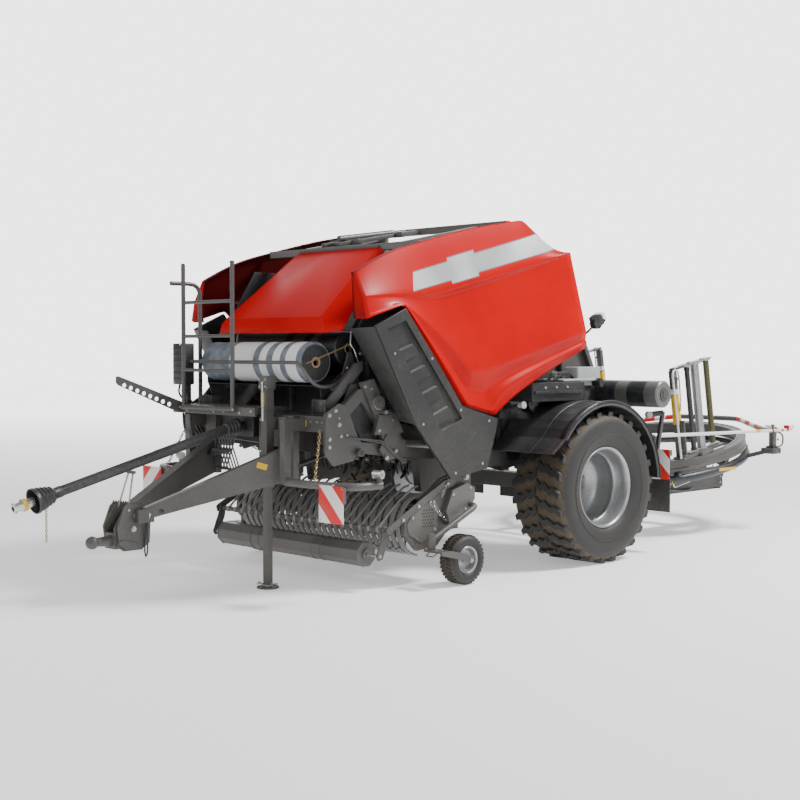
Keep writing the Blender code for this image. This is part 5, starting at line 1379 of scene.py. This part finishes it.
for side in (1, -1):
    slab(shape, (side * 0.80, side * 1.12), (-0.60, 0.05), (1.50, 1.53), 0.006)
    pipe(shape, on_side(side, (0.98, -0.30, 1.60), (1.0, -0.20, 1.68), (0.98, 0.02, 1.68),
                        (0.95, 0.12, 1.62)), 0.012, 0.05, 12)
    pipe(shape, on_side(side, (0.80, -0.80, 1.45), (0.95, -0.60, 1.62), (1.05, -0.30, 1.60),
                        (0.9, 0.0, 1.66), (0.75, 0.4, 1.72), (0.70, 0.75, 1.55)), 0.013, 0.12, 12)
piece(shape, "mudguard_fittings", "chassis", machine_black)
shape = bmesh.new()
for side in (1, -1):
    shaft(shape, at(side * 0.86, -0.735, 1.36), at(side * 1.05, -0.74, 1.405), 0.020, 20)
    shaft(shape, at(side * 0.86, -0.735, 1.36), at(side * 0.93, -0.737, 1.376), 0.030, 20)
    slab(shape, (side * 0.845, side * 0.89), (-0.80, -0.66), (1.29, 1.42), 0.005)
piece(shape, "lamp_arms", "chassis", machine_black)
shape = bmesh.new()
for side in (1, -1):
    shaft(shape, at(side * 1.045, -0.74, 1.405), at(side * 1.10, -0.742, 1.412), 0.019, 24)
    shaft(shape, at(side * 1.096, -0.742, 1.411), at(side * 1.112, -0.743, 1.413), 0.030, 28)
    for y in (-0.45, -0.30, -0.15):
        side_bolt(shape, side, (1.102, y, 1.555), 0.009)
    shaft(shape, at(side * 1.30, 0.775, 1.285), at(side * 1.335, 0.765, 1.285), 0.032, 28)
piece(shape, "side_markers", "chassis", tank_grey)
shape = bmesh.new()
for side in (1, -1):
    girder(shape, at(side * 1.30, 0.78, 1.285), at(side * 1.36, 0.93, 1.30), 0.03, 0.05, 0.004)
    girder(shape, at(side * 1.36, 0.93, 1.31), at(side * 1.30, 0.93, 0.95), 0.04, 0.03, 0.004)
piece(shape, "marker_brackets", "chassis", machine_black)
for side, name in ((1, "left"), (-1, "right")):
    place = Matrix.Translation(at(0, 0.85, 1.475)) @ Matrix.Rotation(side * math.pi / 2, 4, "Y")
    shape = bmesh.new()
    lathe(shape, [(0.040, 0.713), (0.112, 0.711), (0.1245, 0.722), (0.1245, 0.90), (0.1245, 1.10),
                  (0.1245, 1.30), (0.1245, 1.418),
                  (0.112, 1.4295), (0.040, 1.428), (0.040, 0.713)], place, 80)
    piece(shape, "spare_film_" + name, "chassis", spare_film, ("spare_roll_" + name,))
    shape = bmesh.new()
    pin(shape, (side * 1.40, side * 1.446), (0.85, 1.475), 0.031, 28)
    pin(shape, (side * 1.4305, side * 1.438), (0.85, 1.475), 0.060, 36)
    piece(shape, "spare_pin_" + name, "chassis", frame_grey)

# Work lamp: a round black lamp with a clear lens on a bent bracket behind each wing, aimed back
# over the wrapper.
lens_white = dusty("lens_white", (0.80, 0.81, 0.82), 0.12, 0.1)
for side, name in ((1, "left"), (-1, "right")):
    body = bmesh.new()
    shaft(body, at(side * 0.99, 0.36, 2.13), at(side * 1.05, 0.355, 2.13), 0.052, 32)
    shaft(body, at(side * 0.96, 0.38, 2.13), at(side * 1.06, 0.44, 2.16), 0.012, 12)
    pipe(body, on_side(side, (0.66, 0.25, 2.02), (0.93, 0.30, 2.02), (1.0, 0.34, 2.10)), 0.010, 0.05, 10)
    girder(body, at(side * 1.0, 0.36, 2.135), at(side * 1.0, 0.425, 2.175), 0.11, 0.10, 0.012)
    piece(body, "work_lamp_" + name, "tailgate", machine_black)
    glass = bmesh.new()
    girder(glass, at(side * 1.0, 0.423, 2.174), at(side * 1.0, 0.462, 2.198), 0.10, 0.085, 0.006)
    piece(glass, "work_lamp_lens_" + name, "tailgate", lens_white)

# Wrapping ring: a rolled steel channel that turns on rollers around the bale, tilted up at the
# rear; it carries two masts whose rubber and alloy rollers stretch the film.
tilt = Matrix.Translation(at(0, 2.45, 0.887)) @ Matrix.Rotation(math.radians(9.75), 4, "X")


def ring_spot(u, v, w):
    """Point in the tilted ring frame: u left, v rearwards, w up its axis."""
    return tilt @ Vector((u, v, w))


shape = bmesh.new()
lathe(shape, [(1.099, -0.002), (1.099, -0.030), (1.088, -0.034), (1.088, -0.086), (1.099, -0.090),
              (1.099, -0.118), (1.001, -0.118),
              (1.001, -0.100), (1.012, -0.096), (1.012, -0.024), (1.001, -0.020), (1.001, -0.002),
              (1.022, -0.002),
              (1.026, -0.006), (1.074, -0.006), (1.078, -0.002), (1.099, -0.002)], tilt, 160)
piece(shape, "ring_channel", "wrap_ring", frame_grey, ("wrap_ring",), angle=30)
shape = bmesh.new()
for i in range(24):
    a = 2 * math.pi * i / 24
    bolt(shape, ring_spot(1.05 * math.cos(a), 1.05 * math.sin(a), -0.006), ring_spot(0, 0, 1) - ring_spot(0,
            0, 0), 0.007)
piece(shape, "ring_bolts", "wrap_ring", bolt_zinc)
alloy_grey = dusty("alloy_grey", (0.46, 0.47, 0.48), 0.30, 0.18, metal=0.75, scale=260)
olive_rubber = dusty("olive_rubber", (0.085, 0.078, 0.022), 0.35, 0.2)
for side, name in ((1, "left"), (-1, "right")):
    def spot(u, v, w):
        return ring_spot(side * u, side * v, w)

    shape = bmesh.new()
    girder(shape, spot(0.94, -0.66, 0.020), spot(0.94, 0.06, 0.020), 0.13, 0.028, 0.004)
    girder(shape, spot(1.02, -0.40, 0.0155), spot(1.02, -0.20, 0.0155), 0.06, 0.029, 0.003)
    girder(shape, spot(0.92, -0.60, 0.03), spot(0.92, -0.60, 0.905), 0.069, 0.049, 0.005)
    girder(shape, spot(0.96, -0.60, 0.05), spot(0.96, -0.60, 0.40), 0.09, 0.020, 0.003)
    girder(shape, spot(0.93, -0.63, 0.92), spot(0.925, -0.36, 0.92), 0.058, 0.024, 0.004)
    piece(shape, "film_mast_" + name, "wrap_ring", frame_grey, ("prestretch_" + name,))
    shape = bmesh.new()
    shaft(shape, spot(0.93, -0.37, 0.034), spot(0.93, -0.37, 0.91), 0.0265, 28)
    for w in (0.06, 0.88):
        shaft(shape, spot(0.93, -0.37, w - 0.012), spot(0.93, -0.37, w + 0.012), 0.031, 24)
    piece(shape, "film_roller_black_" + name, "wrap_ring", machine_black)
    shape = bmesh.new()
    shaft(shape, spot(0.93, -0.235, 0.045), spot(0.93, -0.235, 0.90), 0.0415, 40)
    for k in range(16):
        a = 2 * math.pi * k / 16
        girder(shape, spot(0.93 + 0.041 * math.cos(a), -0.235 + 0.041 * math.sin(a), 0.05),
               spot(0.93 + 0.041 * math.cos(a), -0.235 + 0.041 * math.sin(a), 0.895), 0.004, 0.004, 0.001)
    for u, v, radius in ((0.93, -0.235, 0.058), (0.93, -0.37, 0.045), (0.915, 0.0, 0.045),
                         (0.92, -0.12, 0.035)):
        shaft(shape, spot(u, v, 0.034), spot(u, v, 0.046), radius, 32)
        shaft(shape, spot(u, v, 0.905), spot(u, v, 0.922), radius * 0.9, 32)
    girder(shape, spot(0.925, -0.45, 0.925), spot(0.912, 0.05, 0.925), 0.075, 0.014, 0.004)
    girder(shape, spot(0.93, -0.50, 0.045), spot(0.93, 0.04, 0.045), 0.085, 0.012, 0.004)
    shaft(shape, spot(0.93, -0.30, 0.93), spot(0.93, -0.30, 0.943), 0.040, 28)
    shaft(shape, spot(0.92, -0.08, 0.93), spot(0.92, -0.08, 0.940), 0.026, 24)
    piece(shape, "film_roller_alloy_" + name, "wrap_ring", alloy_grey)
    shape = bmesh.new()
    shaft(shape, spot(0.91, 0.0, 0.034), spot(0.91, 0.0, 0.905), 0.0305, 32)
    piece(shape, "film_roller_rubber_" + name, "wrap_ring", olive_rubber)
    shape = bmesh.new()
    girder(shape, spot(0.9205, -0.60, 0.36), spot(0.9205, -0.60, 0.66), 0.0705, 0.0505, 0.004)
    piece(shape, "mast_sticker_" + name, "wrap_ring", sticker_yellow)
    shape = bmesh.new()
    pipe(shape, [spot(0.985, -0.68, 0.03), spot(0.975, -0.68, 0.80), spot(0.96, -0.66, 0.90),
                 spot(0.94, -0.55, 0.935)], 0.011, 0.05, 12)
    girder(shape, spot(0.9207, -0.60, 0.665), spot(0.9207, -0.60, 0.72), 0.071, 0.051, 0.004)
    piece(shape, "mast_rod_" + name, "wrap_ring", sticker_white)
    shape = bmesh.new()
    for v, w in ((-0.62, 0.86), (-0.58, 0.82), (-0.62, 0.10), (-0.58, 0.16), (-0.60, 0.26)):
        bolt(shape, spot(0.954, v, w), spot(1, 0, 0) - spot(0, 0, 0), 0.010)
    pipe(shape, [spot(0.955, -0.56, 0.90), spot(0.99, -0.60, 0.82), spot(0.985, -0.60, 0.60),
                 spot(0.96, -0.58, 0.50)], 0.008, 0.05, 10)
    piece(shape, "mast_bolts_" + name, "wrap_ring", bolt_zinc)

# Wrapping table: two ribbed rollers between cheek plates on twin rails turn the bale; a dark navy
# hoop and posts under them carry the ring.
dress(machine_black, "ring_carrier", edge=0.004)
navy = dusty("hoop_navy", (0.018, 0.024, 0.034), 0.30, 0.3)
shape = bmesh.new()
hoop = [ring_spot(1.08 * math.sin(a), 1.08 * math.cos(a),
                  -0.20) for a in (2 * math.pi * i / 112 for i in range(112))]
pipe(shape, hoop, 0.0462, sides=20, closed=True)
piece(shape, "ring_hoop", "chassis", navy)
for y, name in ((2.18, "front"), (2.72, "rear")):
    shape = bmesh.new()
    pin(shape, (-0.62, 0.62), (y, 0.575), 0.082, 40)
    pin(shape, (-0.6495, 0.6495), (y, 0.575), 0.020, 24)
    for x in (-0.615, -0.31, 0.0, 0.31, 0.615):
        pin(shape, (x - 0.004, x + 0.004), (y, 0.575), 0.0848, 40)
    piece(shape, "table_roller_drum_" + name, "table_roller_" + name, roller_black,
          ("table_roller_" + name,))
shape = bmesh.new()
dark_bits = bmesh.new()
for side in (1, -1):
    for y in (2.18, 2.72):
        side_bolt(shape, side, (0.670, y, 0.575), 0.016)
        pin(dark_bits, (side * 0.668, side * 0.672), (y, 0.575), 0.05, 28)
    for y in (1.95, 2.95):
        for z in (0.47, 0.53):
            side_bolt(shape, side, (0.670, y, z), 0.009)
    for v in (-0.62, 0.62, 0.0):
        out = ring_spot(side * 1.15, v, -0.10) - ring_spot(side * 0.95, v, -0.10)
        shaft(dark_bits, ring_spot(side * 0.86 if v else side * 0.955, v, -0.155),
              ring_spot(side * 0.90 if v else side * 0.99, v, -0.155), 0.035, 28)
        bolt(shape, ring_spot(side * 0.91 if v else side * 0.99, v, -0.155), out, 0.010)
    girder(dark_bits, at(side * 0.50, 1.10, 0.46), at(side * 0.50, 1.60, 0.62), 0.06, 0.05, 0.004)
    pipe(dark_bits, on_side(side, (0.60, 1.05, 0.90), (0.75, 1.25, 0.62), (0.80, 1.60, 0.50),
                            (0.70, 2.3, 0.42), (0.55, 2.9, 0.50)), 0.012, 0.15, 10)
piece(shape, "table_bolts", "chassis", bolt_zinc)
piece(dark_bits, "table_fittings", "chassis", machine_black)
shape = bmesh.new()
for side in (1, -1):
    coil = [at(side * (0.86 + 0.020 * math.cos(t * 0.9)), 1.70 + 0.0055 * t,
               0.545 + 0.0006 * t + 0.020 * math.sin(t * 0.9))
            for t in range(90)]
    pipe(shape, coil, 0.0048, 0.0, 6)
    plaque(shape, ring_spot(side * 1.1265, -0.10, -0.20), (side, 0, 0), (0, 0, 1), 0.30, 0.030)
piece(shape, "table_springs", "chassis", sticker_yellow)
shape = bmesh.new()
for side in (1, -1):
    pipe(shape, on_side(side, (0.80, 1.90, 0.56), (0.80, 1.92, 0.49), (0.80, 2.58, 0.60),
                        (0.80, 2.62, 0.68)), 0.008, 0.04, 10)
piece(shape, "table_stay_rods", "chassis", bright_steel)

# Rear guard: white tube rails run back along both sides of the ring to a grey bow across the
# rear, with red and white tape at the bends and small marker tabs.
rail_white = Paint("guard_white")
y = rail_white.part("Y") - axle_y
taped = band(rail_white, y, 3.02, 3.06) + band(rail_white, y, 3.20, 3.24) + band(rail_white, y, 3.30, 3.34)
tagged = band(rail_white, y, 2.70, 2.80)
chips = rail_white.noise(60, 6)
tape_white, tape_red = (0.74, 0.74, 0.73), (0.60, 0.008, 0.010)
tone = rail_white.mix(taped, tape_white, tape_red)
tone = rail_white.mix(tagged, tone, tape_yellow)
rail_white = rail_white.wear(Base_Color=rail_white.mix(rail_white.ramp(chips, 0.55, 0.8) * 0.3, tone,
                                                       (0.34, 0.31, 0.28)),
                             Roughness=0.32 + chips * 0.1, Normal=rail_white.bump(chips, 0.0004))
bow_paint = Paint("bow_grey")
x = bow_paint.node("Math", {0: bow_paint.part("X")}, operation="ABSOLUTE")
lit = band(bow_paint, x, 0.42, 0.90)
red = band(bow_paint, x, 0.42, 0.50) + band(bow_paint, x, 0.60, 0.70) + band(bow_paint, x, 0.80, 0.90)
chips = bow_paint.noise(60, 6)
tone = bow_paint.mix(lit, (0.10, 0.10, 0.098), tape_white)
tone = bow_paint.mix(red, tone, tape_red)
bow_paint = bow_paint.wear(Base_Color=bow_paint.mix(bow_paint.ramp(chips, 0.55, 0.8) * 0.3, tone,
                                                    (0.20, 0.18, 0.16)),
                           Roughness=0.34 + chips * 0.1, Normal=bow_paint.bump(chips, 0.0004))
shape = bmesh.new()
for side in (1, -1):
    shaft(shape, at(side * 1.24, 0.95, 1.075), at(side * 1.24, 3.40, 1.035), 0.0165, 24)
    bmesh.ops.create_uvsphere(shape, u_segments=20, v_segments=12, radius=0.0165,
                              matrix=Matrix.Translation(at(side * 1.24, 3.40, 1.035)))
    slab(shape, (side * 1.20, side * 1.262), (3.33, 3.44), (1.045, 1.085), 0.005)
    pipe(shape, on_side(side, (1.24, 3.10, 0.92), (1.20, 3.18, 1.03), (1.08, 3.42, 1.05),
                        (0.90, 3.48, 1.06)), 0.012, 0.05, 12)
piece(shape, "guard_rails", "chassis", rail_white, ("rear_guard",))
shape = bmesh.new()
pipe(shape, [at(-1.24, 3.10, 1.04), at(-0.95, 3.32, 1.03), at(-0.40, 3.70, 1.11), at(0.40, 3.70, 1.11),
             at(0.95, 3.32, 1.03),
             at(1.24, 3.10, 1.04)], 0.028, 0.12, 20)
slab(shape, (-0.06, 0.06), (3.69, 3.73), (1.09, 1.13), 0.004)
piece(shape, "guard_bow", "chassis", bow_paint)
shape = bmesh.new()
for side in (1, -1):
    slab(shape, (side * 1.21, side * 1.27), (0.93, 0.97), (0.955, 1.075), 0.004)
    slab(shape, (side * 1.212, side * 1.268), (3.02, 3.08), (0.88, 1.02), 0.004)
    slab(shape, (side * 1.15, side * 1.30), (2.97, 3.12), (0.80, 0.86), 0.006)
    shaft(shape, at(side * 1.24, 3.05, 1.03), at(side * 1.24, 3.05, 1.10), 0.010, 16)
    shaft(shape, at(side * 1.24, 3.05, 1.09), at(side * 1.24, 3.05, 1.105), 0.018, 20)
    pipe(shape, on_side(side, (1.25, 3.08, 0.86), (1.27, 3.20, 0.88), (1.26, 3.22, 1.0), (1.2, 3.12, 1.04)),
         0.009, 0.05, 10)
    for y, z in ((3.0, 0.83), (3.09, 0.83), (3.05, 0.95)):
        side_bolt(shape, side, (1.30, y, z), 0.010)
piece(shape, "guard_posts", "chassis", frame_grey)

# Hoses: black hydraulic hoses run from the valve box and along the drawbar to the couplings.
shape = bmesh.new()
for i in range(4):
    x = -0.72 + 0.035 * i
    pipe(shape, [at(x, -3.0, 1.355), at(x + 0.04, -3.02, 1.22 - 0.02 * i),
                 at(x + 0.16, -2.97, 1.06 - 0.02 * i), at(x + 0.40, -2.87, 1.06)],
         0.010, 0.08, 10)
for i in range(3):
    pipe(shape, [at(0.45 + 0.03 * i, -2.84, 1.20), at(0.43 + 0.03 * i, -2.95, 1.02 - 0.02 * i),
                 at(0.52 + 0.02 * i, -2.86, 0.96),
                 at(0.60 + 0.03 * i, -2.62, 1.05)], 0.009, 0.06, 10)
for side in (1, -1):
    for i in range(4):
        pipe(shape, on_side(side, ((0.76 + 0.02 * i), -2.30, 1.52 + 0.03 * i),
                            (0.80, -2.05, 1.40 + 0.02 * i), (0.82, -1.75, 1.30 - 0.02 * i),
                            ((0.78 + 0.01 * i), -1.20, 1.20)), 0.010, 0.12, 10)
piece(shape, "hydraulic_hoses", "chassis", machine_black)

size = {"cad": [list(corner) for corner in cad_box], "visual": [list(corner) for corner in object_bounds()]}
